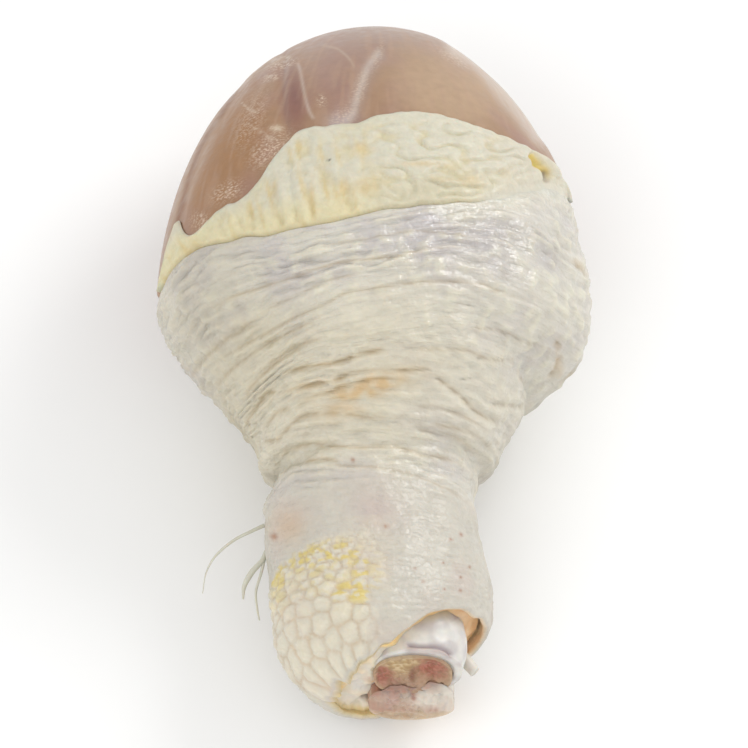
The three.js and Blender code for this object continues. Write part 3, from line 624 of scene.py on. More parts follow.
def skin():
    """The sleeve: rings along its outer face, round its upper edge, back inside, round the cuff."""
    sides_top, sides_below = 216, 52
    sides = sides_top + sides_below
    right_side, left_side = -0.06 * TURN, 0.56 * TURN  # between them the columns are closer
    angles = np.concatenate([
        np.linspace(right_side, left_side, sides_top, endpoint=False),
        np.linspace(left_side, right_side + TURN, sides_below, endpoint=False),
    ])
    outer = np.concatenate([
        np.linspace(-ANKLE_REACH, -32, 136, endpoint=False),
        np.linspace(-32, RING_EDGE, 204),
    ])
    rim = np.array([0.15, 0.5, 0.85])
    inner = np.concatenate([
        np.linspace(RING_EDGE, -10, 4, endpoint=False), np.linspace(-10, -34, 15, endpoint=False),
        np.linspace(-34, -ANKLE_REACH, 6),
    ])
    rings = np.concatenate([outer, 0 * rim + RING_EDGE, inner, 0 * rim - ANKLE_REACH])
    shares = np.concatenate([0 * outer, rim, 0 * inner + 1, rim[::-1]])
    edge_lip, cuff_lip = 0.16, -0.6  # how far the rounded rims of the skin stand out along the leg
    lips = np.where(rings > -30, edge_lip, cuff_lip) * np.sin(math.pi * shares)

    piece, row, column = sleeve("skin_sleeve", len(rings), sides)
    ring, share, lip, angle = rings[row], shares[row], lips[row], angles[column]
    y = ring_station(ring, angle) + lip
    thick = skin_thickness(y, angle)
    base = on_form(y, angle, -thick * share - sunk_edge(y, angle))
    marks = seen(on_form(y, angle, 0))
    normals = form_normals(y, angle)
    facing = normals @ np.array([0, -math.cos(VIEW_TILT), math.sin(VIEW_TILT)])
    outside = share == 0
    shown = ramp(-0.15, 0.25, facing) * outside
    free = ramp(RING_EDGE, RING_EDGE - 1.2, ring) * ramp(-ANKLE_REACH, -ANKLE_REACH + 1.5, ring)
    on_board = ramp(-0.86, -0.55, np.sin(angle))  # 0 on the flat underside
    turned = (angle - math.pi / 2 + math.pi) % TURN - math.pi  # 0 on top
    along = turned * (half_left(y) + half_right(y)) / 2
    unseen_level = np.interp(ring, outer, seen(on_form(outer, math.pi / 2 + 0 * outer, 0))[:, 1])
    level = unseen_level + (flow_level(marks) - unseen_level) * ramp(-0.1, 0.3, facing)

    # where on the leg
    upper = ramp(-10, -5, ring)
    neck = hump(ring, -20, 8.5)
    ankle = ramp(-29, -34, ring)
    right = ramp(0, 0.75, np.cos(angle))
    left = ramp(0.2, 0.8, -np.cos(angle))
    arc = turned * SCALE_ARC

    # relief
    relief, valley, ochre_valley = folds(marks, shown)
    wide, wide_valley = wrinkles(along, level, 2.6, 19, 1)
    mid, mid_valley = wrinkles(along, level, 1.45, 15, 4)
    fine, _ = wrinkles(along, level, 0.8, 9, 7)
    lumps = perlin(base, 1.7, seed=3)
    soft = perlin(base, 5, seed=5)
    creased = (
        wide * (0.2 * neck + 0.18 + 0.06 * left) * (1 - 0.3 * right)
        + mid * (0.16 * neck + 0.3 * upper + 0.24 + 0.1 * left) * (1 - 0.2 * right)
        + fine * (0.16 + 0.12 * upper)
    )
    body = hump(ring, -9, 8)
    pearls = np.clip(lumps, -0.2, 1) * (0.24 + 0.2 * body)
    crepe = 0.12 * fine + 0.1 * mid
    relief += free * (creased * (1 - 0.85 * ankle) + ankle * crepe + pearls * (1 - 0.5 * ankle) + 0.3 * soft)
    # where the wide and middle wrinkles have their valleys, for painted shade
    low = np.clip(wide_valley * neck + mid_valley * (0.4 + 0.6 * upper), 0, 1) * (1 - ankle)

    pillow, yellow, groove, scaled = ankle_scales(arc, y)
    scaled = scaled * outside
    relief += 0.5 * (pillow - 0.5) * scaled
    slivers = perlin(np.column_stack([arc + 0.5 * y, y - 0.2 * arc]), 1.3, 0.7, seed=19)
    yellow = yellow * ramp(-0.35, 0.15, slivers)

    # the pouch on the right flank, the notch under it, the overhang and a nub on the left
    swell = hump_round(angle, -4, 24) * hump(y, -3, 9)
    notch = hump_round(angle, 0, 34) * hump(y, -13.6, 1.3)
    overhang = ramp(0.2, 0.9, -np.cos(angle)) * (1.5 * hump(ring, -23.2, 1.7) - 1.7 * hump(ring, -25.7, 0.9))
    overhang += ramp(0.3, 0.9, np.cos(angle)) * (0.8 * hump(ring, -22.6, 1.5) - 0.9 * hump(ring, -24.8, 0.9))
    nub = hump_round(angle, 178, 9) * hump(y, -30.2, 0.9)
    relief += 0.9 * swell - 1.2 * notch + 0.9 * overhang + 0.8 * nub
    relief *= on_board * outside
    deepest = -1  # a crease of more than this would cut through the skin
    relief = np.where(relief < deepest / 2, deepest / 2 * (2 - np.exp(1 - 2 * relief / deepest)), relief)
    put(piece, base + normals * relief[:, None])

    # colours
    patches = perlin(base, 6, seed=9)
    pink = np.clip(1.3 * perlin(base, 7, seed=12), 0, 1) * ankle
    stain = spot(marks, (0.2, -1.6), (6.4, 1.6), 14) + 0.8 * spot(marks, (-2.8, -3.8), (4.4, 1.6), 30)
    stain += 0.4 * spot(marks, (-9, -1.4), (3.5, 0.8), 18)
    stain = stain * (0.65 + 0.6 * perlin(base, 1.6, seed=21))
    merged = ramp(-5, 0, y - skin_edge(angle)) * ramp(0.3, 0.5, np.cos(angle))
    flap = ramp(0.1, 0.7, np.cos(angle)) * (ring < -30)
    paint(piece, (218, 213, 201), [
        ((202, 196, 194), (0.3 + 1.1 * patches + 0.25 * upper) * (1 - ankle) * (1 - 0.4 * right)),
        # paler cream on the crests of the wrinkles and the tops of the lumps: the skin's cream tone, partly a
        # painted highlight on that relief
        ((221, 215, 193), np.clip(1.5 * creased + 1.2 * pearls, 0, 0.6) * (1 - 0.6 * ankle)),
        ((230, 226, 208), np.clip(2.2 * lumps - 0.7, 0, 0.6) * body * outside),
        ((221, 212, 186), 0.7 * hump(ring, -20, 10) * (1 - right)),
        # darker, yellower left flank: a warmer skin tone, partly painted shade on the side facing away from
        # the key light
        ((204, 195, 170), 0.75 * left * ramp(-26, -16, ring) * (1 - 0.5 * upper)),
        ((222, 198, 190), 0.6 * pink),
        ((212, 184, 180), 0.9, (0.2, -20.2), (4, 3.2), -30),
        ((205, 199, 186), 0.6 * ankle),
        # a greyer, darker patch on the upper right: painted shade, toning down skin that the lamps light
        # brightly there
        ((188, 182, 176), 0.4, (19, 19), (6, 4)),
        # a darker, yellower patch on the left flank: partly painted shade on the side facing away from the
        # key light
        ((184, 176, 152), 0.4, (-25, 8), (5, 7)),
        # painted shade in the valleys of the wrinkles
        ((192, 184, 168), 0.36 * low * outside),
        # ochre in the deeper folds and a dark line down every fold: painted shade in the folds, partly the
        # ochre of the skin there
        ((216, 188, 136), 0.6 * ochre_valley),
        ((170, 146, 110), 0.8 * valley),
        # lighter cream over the neck, kept off the fold valleys: the skin's cream, partly painted light
        # against the shade of the dips
        ((224, 216, 194), 0.5 * hump(ring, -19, 8) * (1 - valley)),
        ((216, 178, 118), 0.7 * np.clip(stain, 0, 1) * shown),
        ((214, 188, 160), 0.7, (-12.6, -22.6), (2.6, 2.6)),
        ((208, 170, 126), 0.35, (27.2, 2.4), (0.4, 2.2)),
        *(((166, 112, 80), 0.8, (x, v), (size, size)) for x, v, size in PORES),
        ((233, 225, 203), scaled * (0.4 + 0.6 * pillow)),
        ((226, 206, 128), 0.95 * yellow),
        # tan grooves between the scales: their colour, partly painted shade in the grooves
        ((214, 184, 142), 0.5 * groove * scaled),
        (MERGED_TINT, 0.9 * merged),
        ((236, 212, 152), 0.85 * (share > 0.6)),
        # painted light: the inside of the cuff's flap made bright to offset the shade of its hollow
        ((255, 226, 190), 0.9 * flap * (share > 0.4)),
    ], marks, shown, lined=(0.6 + 0.4 * upper) * (1 - 0.9 * ankle))
    store_flow(piece, turned, level)
    return piece


# ---- Fat ----
def over_the_top(angle):
    """Degrees from -60 up to below 300, so that the fat lies in one run of them."""
    return (np.degrees(angle) + 60) % 360 - 60


def fat_top(angle):
    """The station of the fat's ragged upper edge."""
    degrees = over_the_top(angle)
    ragged = 0.3 * perlin(np.column_stack([degrees / 2.2, 0 * degrees]), 1.6, 1, seed=31)
    return np.maximum(fat_edge(degrees) + ragged, skin_edge(angle) + 1.5)


def fat_slope(angle):
    """How steeply the upper edge runs: a distance across it is shorter than one along the leg."""
    degrees = over_the_top(angle)
    return np.sqrt(1 + ((fat_edge(degrees + 1.5) - fat_edge(degrees - 1.5)) / 1.5) ** 2)


def fat_inner(y, angle, top):
    """The inner face of the fat: sunk into the meat, but lying on it along the upper edge."""
    past = y - skin_edge(angle)
    start = np.maximum(top, skin_edge(angle) + 6.5)
    sunk = -0.35 - 2.3 * ramp(start, start - 7, y)
    lying = ramp(3.2, 0.6, (top - y) / fat_slope(angle)) * ramp(-0.1, 0.9, past)
    return sunk + (meat_relief(y, angle) + 0.15 - sunk) * lying


DIMPLES = [  # spots for dips in the fat, which the form lacks, painted yellower and darker: its yellow and painted shade: places on the board plane, half-sizes
    ((-1.9, 33.2), (1.2, 0.7)), ((-1.2, 27.3), (1.8, 1.1)), ((-4.1, 27.3), (0.8, 1.2)),
    ((-8.8, 25.6), (0.5, 2.6)), ((-14.2, 26.8), (0.5, 1.8)), ((7, 30.6), (3, 0.4)),
    ((9.9, 28.4), (1.6, 0.4)), ((14, 28.4), (1.8, 0.8)), ((19.4, 29.5), (0.9, 0.7)),
]
SLIT = [(22.7, 32.8), (24.4, 30.9), (25.5, 29.6), (26.1, 28.2)]


def fat():
    """A pad between the skin's edge and the meat: pleated on the left, lumpy on the right."""
    piece, u, v, outside = slab("fat_pad", columns=260, rows=110)
    degrees = FAT_TO + (FAT_FROM - FAT_TO) * u
    angle = np.radians(degrees)
    edge = skin_edge(angle)
    top = fat_top(angle)
    tuck = 0.16  # this share of the rows is under the skin
    y = np.where(
        v < tuck, edge - FAT_TUCK * (1 - v / tuck), edge + (top - edge) * (v - tuck) / (1 - tuck)
    )
    inner = fat_inner(y, angle, top)
    past = y - edge
    skin_face = on_form(y, angle, 0)
    marks = seen(skin_face)
    left = ramp(3, -5, marks[:, 0])
    merged = merged_at(angle)
    rising = ramp(-0.3, 0.75, past)
    below_top = (top - y) / fat_slope(angle)
    at_top = np.sqrt(np.clip(1 - ramp(1.3, 0, below_top) ** 2, 0, 1))
    band = ramp(1, 3.2, below_top) * ramp(0, 1.4, past)  # 0 in the smooth band along the upper edge
    place = np.column_stack([marks[:, 0] + 0.22 * marks[:, 1], marks[:, 1]])
    pleats = np.abs(perlin(place, 2.1, 11, seed=33)) * 2 - 0.7
    pleats = 0.75 * pleats + 0.5 * perlin(place, 1.3, 5, seed=34)
    ridges = np.abs(perlin(place + 0.5 * perlin(place, 3, 3, seed=44)[:, None], 4.4, 1.8, seed=35)) * 2
    lumps = np.clip(ridges, 0, 1) - 0.6
    small = perlin(skin_face, 1.2, seed=37)
    relief = band * (left * 0.3 * pleats + (1 - left) * 0.46 * lumps + 0.14 * small)
    relief += 0.2 * perlin(skin_face, 4, seed=38)
    plump = 0.35 + 0.45 * ramp(0.5, 4.5, past) + relief
    plump += 0.6 * spot(marks, (-26.3, 19.8), (1, 1.3), 20, 1.5)  # a small curl
    slit_away, slit_along = beside(marks, SLIT, 3)
    slit = hump(slit_away, 0, 0.55) * faded(slit_along, 0.15)
    rim = hump(slit_away, 1.1, 0.6) * faded(slit_along, 0.15)
    tucked = skin_thickness(y, angle) + sunk_edge(y, angle) + 0.12 + 0.04 * np.maximum(-past, 0)
    outer = rising * plump - (1 - rising) * tucked
    level = SUNK * ramp(2.2, 0.2, past)  # flush with the sunk edge of the skin
    flush = -level + (plump - 0.15) * ramp(0.2, 3, past) - (tucked - level) * ramp(-0.05, -0.8, past)
    outer += (flush - outer) * merged + 0.4 * rim - 1.1 * slit
    ends = faded(u, 0.05)
    thick = np.maximum(0.35, outer - inner) * (0.25 + 0.75 * ends) * (0.12 + 0.88 * at_top)
    put(piece, on_form(y, angle, np.where(outside, inner + thick, inner)))

    dents = np.clip(-relief * 3.4, 0, 1)
    streaks = np.clip(1.8 * perlin(place, 0.9, 5, seed=39) - 0.5, 0, 1)
    # a thin band just above the skin's edge, for a painted shadow line
    line = hump(past, 0.2, 0.3) * (1 - merged)
    # painted shade, darkest down the middle of the slit
    deep = hump(slit_away, 0, 0.3) * ramp(0.5, 0.75, slit_along) * ramp(1, 0.95, slit_along)
    fading = ramp(13, 23, marks[:, 0] + 0.5 * perlin(skin_face, 2, seed=45)) * (1 - slit) * (1 - deep)
    paint(piece, (219, 214, 194), [
        ((227, 217, 178), (0.3 + 0.6 * left) * ramp(6.5, 1.5, past)),
        # yellower and darker in the dents of the relief: the fat's yellow, partly painted shade
        ((220, 204, 158), 0.5 * dents),
        ((218, 196, 140), 0.6 * streaks * left * ramp(1, 3, top - y)),
        # the dimples: the fat's yellow and painted shade of dips that the form lacks
        *(((218, 192, 138), 0.5, centre, half) for centre, half in DIMPLES),
        # a darker ochre line along the skin's edge: painted shadow of the edge, partly an ochre tint
        ((208, 190, 148), 0.4 * line),
        ((202, 194, 166), 0.5, (8, 27), (7, 2), 8),
        ((222, 196, 112), np.clip(1.4 * slit, 0, 1)),
        # painted shade deep in the slit
        ((96, 66, 28), deep),
        ((40, 40, 40), 1, (-6.4, 31.3), (0.2, 0.2), 0, 2),
        (MERGED_TINT, np.maximum(0.75 * fading, 0.9 * merged * ramp(4, 0.8, past))),
        ((208, 190, 168), 0.5 * ramp(0.7, 0.1, top - y) * left),
    ], marks)
    return piece


# ---- Meat ----
GROOVES = [  # between the muscles: degrees, sweep for each mm along the leg, depth, half-width
    (208, 0, 1.5, 9), (262, 0, 0.8, 7), (318, 0.2, 1.5, 9),
]
LEFT_SEAM = [(-13.3, 48.7), (-13.6, 44.3), (-13.3, 39.1), (-12.3, 34.4), (-12, 31)]
MIDDLE_SEAM = [(1.8, 48.7), (-0.1, 46.5), (-1.2, 44.3), (-2.2, 41.3), (-3.1, 38.4), (-4.9, 37)]
RIGHT_SEAM = [(9.9, 51), (12.9, 47.7), (15.9, 45.8), (19.6, 41.3), (23.3, 36.9), (26.2, 33.2)]
RIGHT_RIM = [(9.9, 49.2), *RIGHT_SEAM[1:]]
FAR_LEFT_SEAM = [(-19, 46), (-20, 42.8), (-23, 37.3), (-25.2, 33.8), (-27, 29.2), (-28.3, 24.9), (-29.5, 19)]
SEAMS = [  # soft furrows between the lobes on top: line, depth, half-width
    (LEFT_SEAM, 0.35, 0.7), (MIDDLE_SEAM, 0.45, 1.2), (RIGHT_SEAM, 0.3, 1), (FAR_LEFT_SEAM, 0.2, 0.9),
]
STRIPE = [(-19.4, 44.4), (-20.4, 42), (-23.2, 37.3), (-25.4, 33.8), (-27.1, 29.2), (-28.3, 24.9), (-29.4, 21)]
HIGHLIGHT_STREAKS = [  # pale streaks on the left lobe, painted highlights of its wet film: line, half-width
    ([(-15.5, 46), (-13.7, 46.8), (-11.9, 46.8)], 0.3), ([(-16.4, 44.3), (-15.1, 44), (-13.9, 44)], 0.25),
    ([(-19.9, 40.6), (-18.4, 39.2), (-16.9, 38.6)], 0.2), ([(-18.4, 37), (-16, 35.4), (-13.7, 34)], 0.3),
]
PAINTED_GLINTS = [  # painted glints, pale specks of highlight on the wet film: places on the board plane, half-sizes, turn, strength
    ((-13.5, 45.8), (2.4, 0.7), 14, 0.7), ((-15.1, 43.9), (1.7, 0.6), 20, 0.6),
    ((-18, 37.8), (1.8, 4.4), -24, 0.45), ((-15.2, 33.4), (3.4, 1.9), 40, 0.8),
    ((-21.6, 27), (2.4, 1.3), 30, 0.8), ((-7.6, 40.4), (0.7, 0.9), 0, 0.8),
    ((-14.3, 36.4), (1, 0.5), 0, 1), ((-25.6, 22.6), (1.4, 1.4), 0, 0.7),
    ((-19, 44), (1.2, 3), -36, 0.4), ((12, 46.8), (2.6, 0.8), -30, 0.5),
    ((0.7, 47), (0.7, 2.4), -18, 0.4), ((-1.9, 42.4), (1, 3.4), -20, 0.5),
    ((-4.4, 38), (2.2, 1.5), 40, 0.5),
]


def meat_relief(y, angle):
    """Grooves and seams of the bare meat, which fade out towards the knee."""
    relief = 0.3 * np.sin(3 * angle + 0.12 * y)
    for at, sweep, depth, width in GROOVES:
        relief -= depth * hump_round(angle, at + sweep * (y - 20), width)
    marks = seen(on_form(y, angle, 0))
    for points, depth, width in SEAMS:
        relief -= depth * stroke(marks, points, width) * (np.sin(angle) > -0.2)
    return relief * (1 - ramp(KNEE_REACH - 9, KNEE_REACH, y))


def meat_out(y, angle):
    """How far the meat stands out: to the form where it is bare, under the skin and the fat."""
    past = y - skin_edge(angle)
    covered = skin_thickness(y, angle) + GAP + 0.15
    degrees = over_the_top(angle)
    beside_fat = ramp(FAT_FROM - 12, FAT_FROM - 2, degrees) * ramp(FAT_TO + 12, FAT_TO + 2, degrees)
    skinned = -covered + (covered + meat_relief(y, angle)) * ramp(0.1, 2.4 - beside_fat, past)
    top = fat_top(angle)
    below = ramp(-FAT_TUCK - 5, -FAT_TUCK - 1, past)
    weight = beside_fat * below * (1 - ramp(-1.5, -0.4, (y - top) / fat_slope(angle)))
    under_fat = fat_inner(y, angle, top) - GAP - 0.1
    return np.minimum(skinned, skinned + (under_fat - skinned) * weight)


def meat():
    """The whole mass: bare at the knee end, sunk under the skin and the fat, closed inside."""
    piece, share, angle = ball("meat_mass", 300, 300)
    back, widest = 0.03, 0.22  # the shares of the rows up to the edge of the back face and station 0
    angle = angle + 0.6 * np.cos(angle)  # more columns on top, where the fine lines are
    knee = KNEE_REACH * np.sin(np.clip((share - widest) / (1 - widest), 0, 1) * math.pi / 2)
    y = np.where(share < widest, BACK_END * np.clip((widest - share) / (widest - back), 0, 1), knee)
    out = np.where(y > KNEE_REACH - 0.01, 0, meat_out(y, angle))
    points = narrowed(on_form(y, angle, out), np.clip(share / back, 0, 1))
    marks = seen(points)
    soft = perlin(points, 5, seed=51)
    put(piece, points)

    shown = ramp(-0.15, 0.25, form_normals(y, angle)[:, 2])
    right_lobe = beside(marks, RIGHT_SEAM, 8)[0]
    broken = np.clip(0.6 + 2 * perlin(points, 0.8, seed=53), 0, 1) * shown
    fibres = perlin(np.column_stack([angle * 26, y]), 0.9, 9, seed=55)
    bare = ramp(0, 3, y - skin_edge(angle))
    # painted highlight specks on the wet film
    frost = [weight * spot(marks, centre, half, turn, 1.4) for centre, half, turn, weight in PAINTED_GLINTS]
    paint(piece, (168, 134, 106), [
        ((166, 130, 116), np.clip(0.5 + 1.2 * soft, 0, 1) * 0.7),
        ((170, 146, 132), 0.8 * hump(marks[:, 1], 51, 4) * ramp(-14, -8, marks[:, 0]) * shown),
        ((164, 118, 72), 0.9, (-21, 36), (5, 8), -28, 1.5),
        ((166, 122, 80), 0.85, (-25, 28), (5, 7), -20),
        ((146, 104, 88), 0.9, (-11.8, 41), (2, 5.6), 6, 2),
        ((130, 88, 84), 0.6, (-11.6, 41.5), (1.1, 2.4)),
        ((160, 126, 114), 0.6, (-6, 43), (2.8, 5)),
        ((190, 162, 132), 0.85, (10.5, 42), (9, 5.4), -22, 1.8),
        ((176, 146, 130), 0.4, (-8, 45.5), (5, 3)),
        ((184, 166, 148), 0.7 * ramp(-0.3, 0.6, right_lobe) * (right_lobe < 50) * shown),
        ((196, 180, 166), 0.5, RIGHT_SEAM, 0.7),
        # pale rim along the right outline: silver skin, partly a painted sheen
        ((206, 190, 174), 0.75, RIGHT_RIM, 1.1),
        ((170, 144, 130), 0.75, MIDDLE_SEAM, 1.5),
        ((202, 186, 174), 0.7, MIDDLE_SEAM, 0.6),
        ((190, 178, 178), 0.7, (-5.2, 37.2), (2, 1.5), 20),
        ((198, 178, 164), 0.7, [(-11.3, 46.2), (-10.8, 45), (-10.1, 41.3), (-9.5, 39.1), (-8.7, 37.6)],
         0.27, 0.05),
        ((190, 168, 148), 0.6, [(-7.9, 48.7), (-5.6, 48.3), (-4.1, 47.3), (-3.1, 46.1), (-2.7, 45)], 0.2),
        ((140, 92, 54), 0.9, STRIPE, 0.4, 0.05),
        ((178, 148, 122), 0.7, [(x - 0.75, v + 0.35) for x, v in STRIPE], 0.35, 0.05),
        ((182, 152, 126), 0.45, [(-22.4, 38.8), (-24.7, 33.5), (-26.8, 28), (-28, 25)], 0.5),
        ((120, 48, 40), 0.9, (-6.4, 36), (0.55, 0.4)),
        # a painted highlight speck, where a painted glint also lies
        ((214, 198, 172), 0.8, (-14.3, 36.4), (0.8, 0.42)),
        ((172, 140, 126), 0.5 * hump(marks[:, 1], 49.6, 1.6) * ramp(-3, -8, marks[:, 0]) * shown),
        # painted highlight streaks, broken up
        *(((210, 190, 168), 0.6 * stroke(marks, line, width) * broken) for line, width in HIGHLIGHT_STREAKS),
        ((184, 152, 128), np.clip(0.9 * fibres - 0.1, 0, 0.35)),
        ((196, 170, 140), 0.5 * (1 - bare)),
    ], marks, shown, frost=np.max(frost, axis=0) * shown)
    return piece


# ---- Bone ----
BONE_LINE = smooth_line([
    BONE_END, (5, -50, 15.2), (2.6, -38, 14.4), (0.8, -18, 14.2), (0, 5, 14.4), (0, 28, 14.6),
    (0, 42.4, 14.8),
], 20)
BONE_LENGTHS = np.concatenate([[0], np.cumsum(np.linalg.norm(np.diff(BONE_LINE, axis=0), axis=1))])
bone_width = through([
    (0, 5.7), (0.06, 6.2), (0.12, 5.6), (0.22, 4), (0.45, 3.6), (0.68, 4.2), (0.82, 6.8),
    (0.9, 9.4), (0.96, 10.2), (0.985, 9.7), (1, 8.6),
])


def bone_centre(share):
    at = np.asarray(share) * BONE_LENGTHS[-1]
    return np.column_stack([np.interp(at, BONE_LENGTHS, axis) for axis in BONE_LINE.T])


def bone_flatness(share):
    """The height of the bone's section, as a share of its width."""
    return 0.8 - 0.06 * np.cos(2 * TURN * share)


def bone():
    """The shin bone, with a spongy cut face at the ankle and a hollowed face at the knee."""
    piece, v, angle = ball("shin_bone", 190, 128)
    face = 0.3  # this share of the rows is on the cut face, and as much on the knee face
    share = np.clip((v - face) / (1 - 2 * face), 0, 1)
    wide = to_poles(v, face)
    centre = bone_centre(share)
    half = bone_width(share) * wide
    squared = 1 + 0.07 * np.sin(2 * angle) ** 2 * (1 - ramp(0, 0.1, share))
    x = half * squared * np.cos(angle)
    z = half * squared * bone_flatness(share) * np.sin(angle)
    lean = CUT_TILT * z * (1 - ramp(0, 0.12, share)) + KNEE_LEAN * z * ramp(0.9, 1, share)
    points = centre + np.column_stack([x, lean, z])
    at_cut = ramp(face + 0.01, face - 0.01, v)
    at_knee = ramp(1 - face - 0.01, 1 - face + 0.01, v)
    marks = seen(points)
    spongy = perlin(points, 0.5, seed=41)
    coarse = perlin(points, 1.4, seed=42)
    red = spot(marks, (9, -43.4), (2.3, 1.9), edge=1.4) + spot(marks, (1.2, -45.3), (2.1, 1.5), edge=1.4)
    wet = np.clip(1.2 - wide * 1.2, 0, 1)
    points[:, 1] += at_cut * ramp(1, 0.9, wide) * (0.16 * spongy + 0.2 * coarse + 0.35 * red)
    knuckle = at_knee * wide * (1 - wide)
    points[:, 1] += 1.6 * knuckle - 1.2 * at_knee * hump(x, 0, 2.2) * (1 - wide**2)
    put(piece, points)
    sponge = spot(marks, (4.2, -42.9), (3.4, 1.6), edge=1.3) * at_cut
    blot = np.clip(red + 0.25 * coarse * (red > 0.1), 0, 1)
    paint(piece, (196, 178, 150), [
        ((184, 152, 122), at_cut),
        ((196, 166, 116), 0.9 * sponge),
        ((222, 200, 160), np.clip(1.6 * spongy, 0, 1) * sponge),
        ((158, 88, 66), at_cut * blot),
        ((196, 130, 108), at_cut * blot * np.clip(1.5 * spongy, 0, 0.7)),
        ((132, 76, 54), 0.8, (5.8, -44.6), (0.6, 1.3), 0, 1.2),
        ((186, 150, 130), 0.7, (4.6, -46.2), (3.4, 0.8)),
        ((204, 176, 142), 0.7 * at_cut * ramp(0.88, 0.98, wide)),
        ((150, 120, 84), 0.5 * at_cut * np.clip(-1.6 * spongy, 0, 1) * (1 - wet * 0.2)),
        ((222, 218, 208), 0.85 * at_knee),
    ], marks, at_cut)
    return piece


VIOLET_LINE = [(4.6, -40), (6.4, -40.2), (9, -40.3), (10.9, -41), (12, -42)]


def cartilage():
    """A saddle over the bone's cut end, with a violet line along a groove in it, partly painted shade."""
    piece, u, v, outside = slab("cartilage_saddle", 130, 60)
    left_end, right_end = 172, -40  # degrees round the bone
    start, reach = 0.004, 0.1  # where along the bone it starts and how far it reaches
    thin, thick_more = 0.3, 2.2
    angle = np.radians(left_end + (right_end - left_end) * u)
    share = start + reach * v
    centre = bone_centre(share)
    plump = np.sin(math.pi * u) ** 0.6 * np.sin(math.pi * (0.16 + 0.76 * v)) ** 0.6 * ramp(0.02, 0.34, u)
    dip = 0.7 * hump(u, 0.36, 0.13) + 0.3 * hump(u, 0.62, 0.06)
    thick = thin + (thick_more - dip) * plump
    off = GAP * 0.3 + np.where(outside, thick, 0)

    def places(off):
        x = (bone_width(share) + off) * np.cos(angle)
        z = (bone_width(share) * bone_flatness(share) + off) * np.sin(angle)
        return centre + np.column_stack([x, CUT_TILT * z, z])

    marks = seen(places(off))
    line = stroke(marks, VIOLET_LINE, 0.32)
    soft = perlin(places(off), 2.2, seed=61)
    off = off + np.where(outside, 0.18 * soft * plump - 0.5 * line, 0)
    put(piece, places(off))
    paint(piece, (232, 229, 222), [
        ((204, 198, 196), np.clip(0.3 + soft, 0, 0.8)),
        # the violet line and the soft band under it: a violet tint, partly painted shade of the groove
        ((166, 146, 148), 0.85 * line),
        ((196, 176, 172), 0.6, [(x, y - 0.8) for x, y in VIOLET_LINE], 0.5),
        ((186, 172, 180), 0.6, [(11.6, -34.6), (11.9, -35.4), (12.5, -36.4)], 0.5),
        ((212, 196, 160), 0.7, [(5.2, -37), (8, -35.6), (12, -35)], 0.7),
        ((208, 190, 150), 0.7 * ramp(0.16, 0.04, u)),
    ], marks)
    return piece


def gristle():
    """A pad that hugs the underside of the bone, with a lip over the foot of its cut face."""
    piece, v, angle = ball("gristle_pad", 150, 120)
    face, lip = 0.3, 0.36  # these shares of the rows end the front and the lip
    right_half, left_half, below, above = 6.9, 5.5, 3.4, 4.4  # its reach from the middle of the foot
    bone_half, bone_low = 6, 4.75  # the bone's half-width, and how far it reaches down from its middle
    across, up = np.cos(angle), np.sin(angle)
    x = FOOT[0] + np.where(across > 0, right_half, left_half) * across
    beside_bone = np.clip((x - BONE_END[0]) / bone_half, -1, 1)
    under_bone = BONE_END[2] - bone_low * np.sqrt(1 - beside_bone**2) - FOOT[1] - GAP / 2
    jagged = perlin(np.column_stack([x, 0 * x, 0 * x]), 1.5, seed=65)
    over_bone = 5 + 0.9 * jagged + 1.8 * ramp(7, 10.5, x)
    rise = over_bone + (np.minimum(under_bone, above) - over_bone) * ramp(face, lip, v)
    z = np.where(up > 0, rise * np.clip(up, 0, 1) ** 0.4, below * up)
    wide = to_poles(v, face)
    x, z = FOOT[0] + (x - FOOT[0]) * wide, FOOT[1] + z * wide
    cut = BONE_END[1] + CUT_TILT * (z - BONE_END[2]) - 0.1 + 0.14 * np.maximum(0, 8 - z)
    points = np.column_stack([x, cut, z])
    marks = seen(points)
    soft = perlin(points, 1.5, seed=63)
    fine = perlin(points, 0.6, seed=64)
    knob = spot(marks, (8.6, -47.8), (3, 1.4), 6)
    thick = (1 - wide**6) * (0.12 + 0.35 * soft + 0.22 * fine + 0.5 * knob) * (v < 0.5)
    inside = -49.4  # the station of its end inside the leg
    points[:, 1] = cut - thick + (inside - cut) * ramp(lip, 1 - face, v) + 0.8 * wide * (v > 1 - face)
    sides = ramp(lip, lip + 0.02, v) * ramp(1, 0.8, v)
    points[:, 0] += sides * 0.25 * soft * across
    put(piece, points)
    paint(piece, (196, 168, 144), [
        ((184, 144, 124), np.clip(0.4 + 1.2 * soft, 0, 0.9)),
        ((202, 176, 166), 0.7, (2.6, -47.6), (1.8, 1.2)),
        ((170, 120, 100), 0.9 * ramp(-48.6, -46.2, marks[:, 1])),
        ((226, 216, 202), 0.95 * np.clip(1.3 * knob, 0, 1)),
        ((226, 216, 202), 0.85 * ramp(9.2, 11, marks[:, 0])),
        ((210, 188, 158), 0.8 * ramp(-49.4, -50.6, marks[:, 1])),
        ((160, 100, 80), 0.7, [(4.9, -44.9), (5.6, -46.6), (6.2, -48.2)], 0.4),
        ((168, 134, 100), 0.5, [(0.6, -50.2), (3, -50.6), (6.4, -50.4)], 0.3),
    ], marks)
    return piece


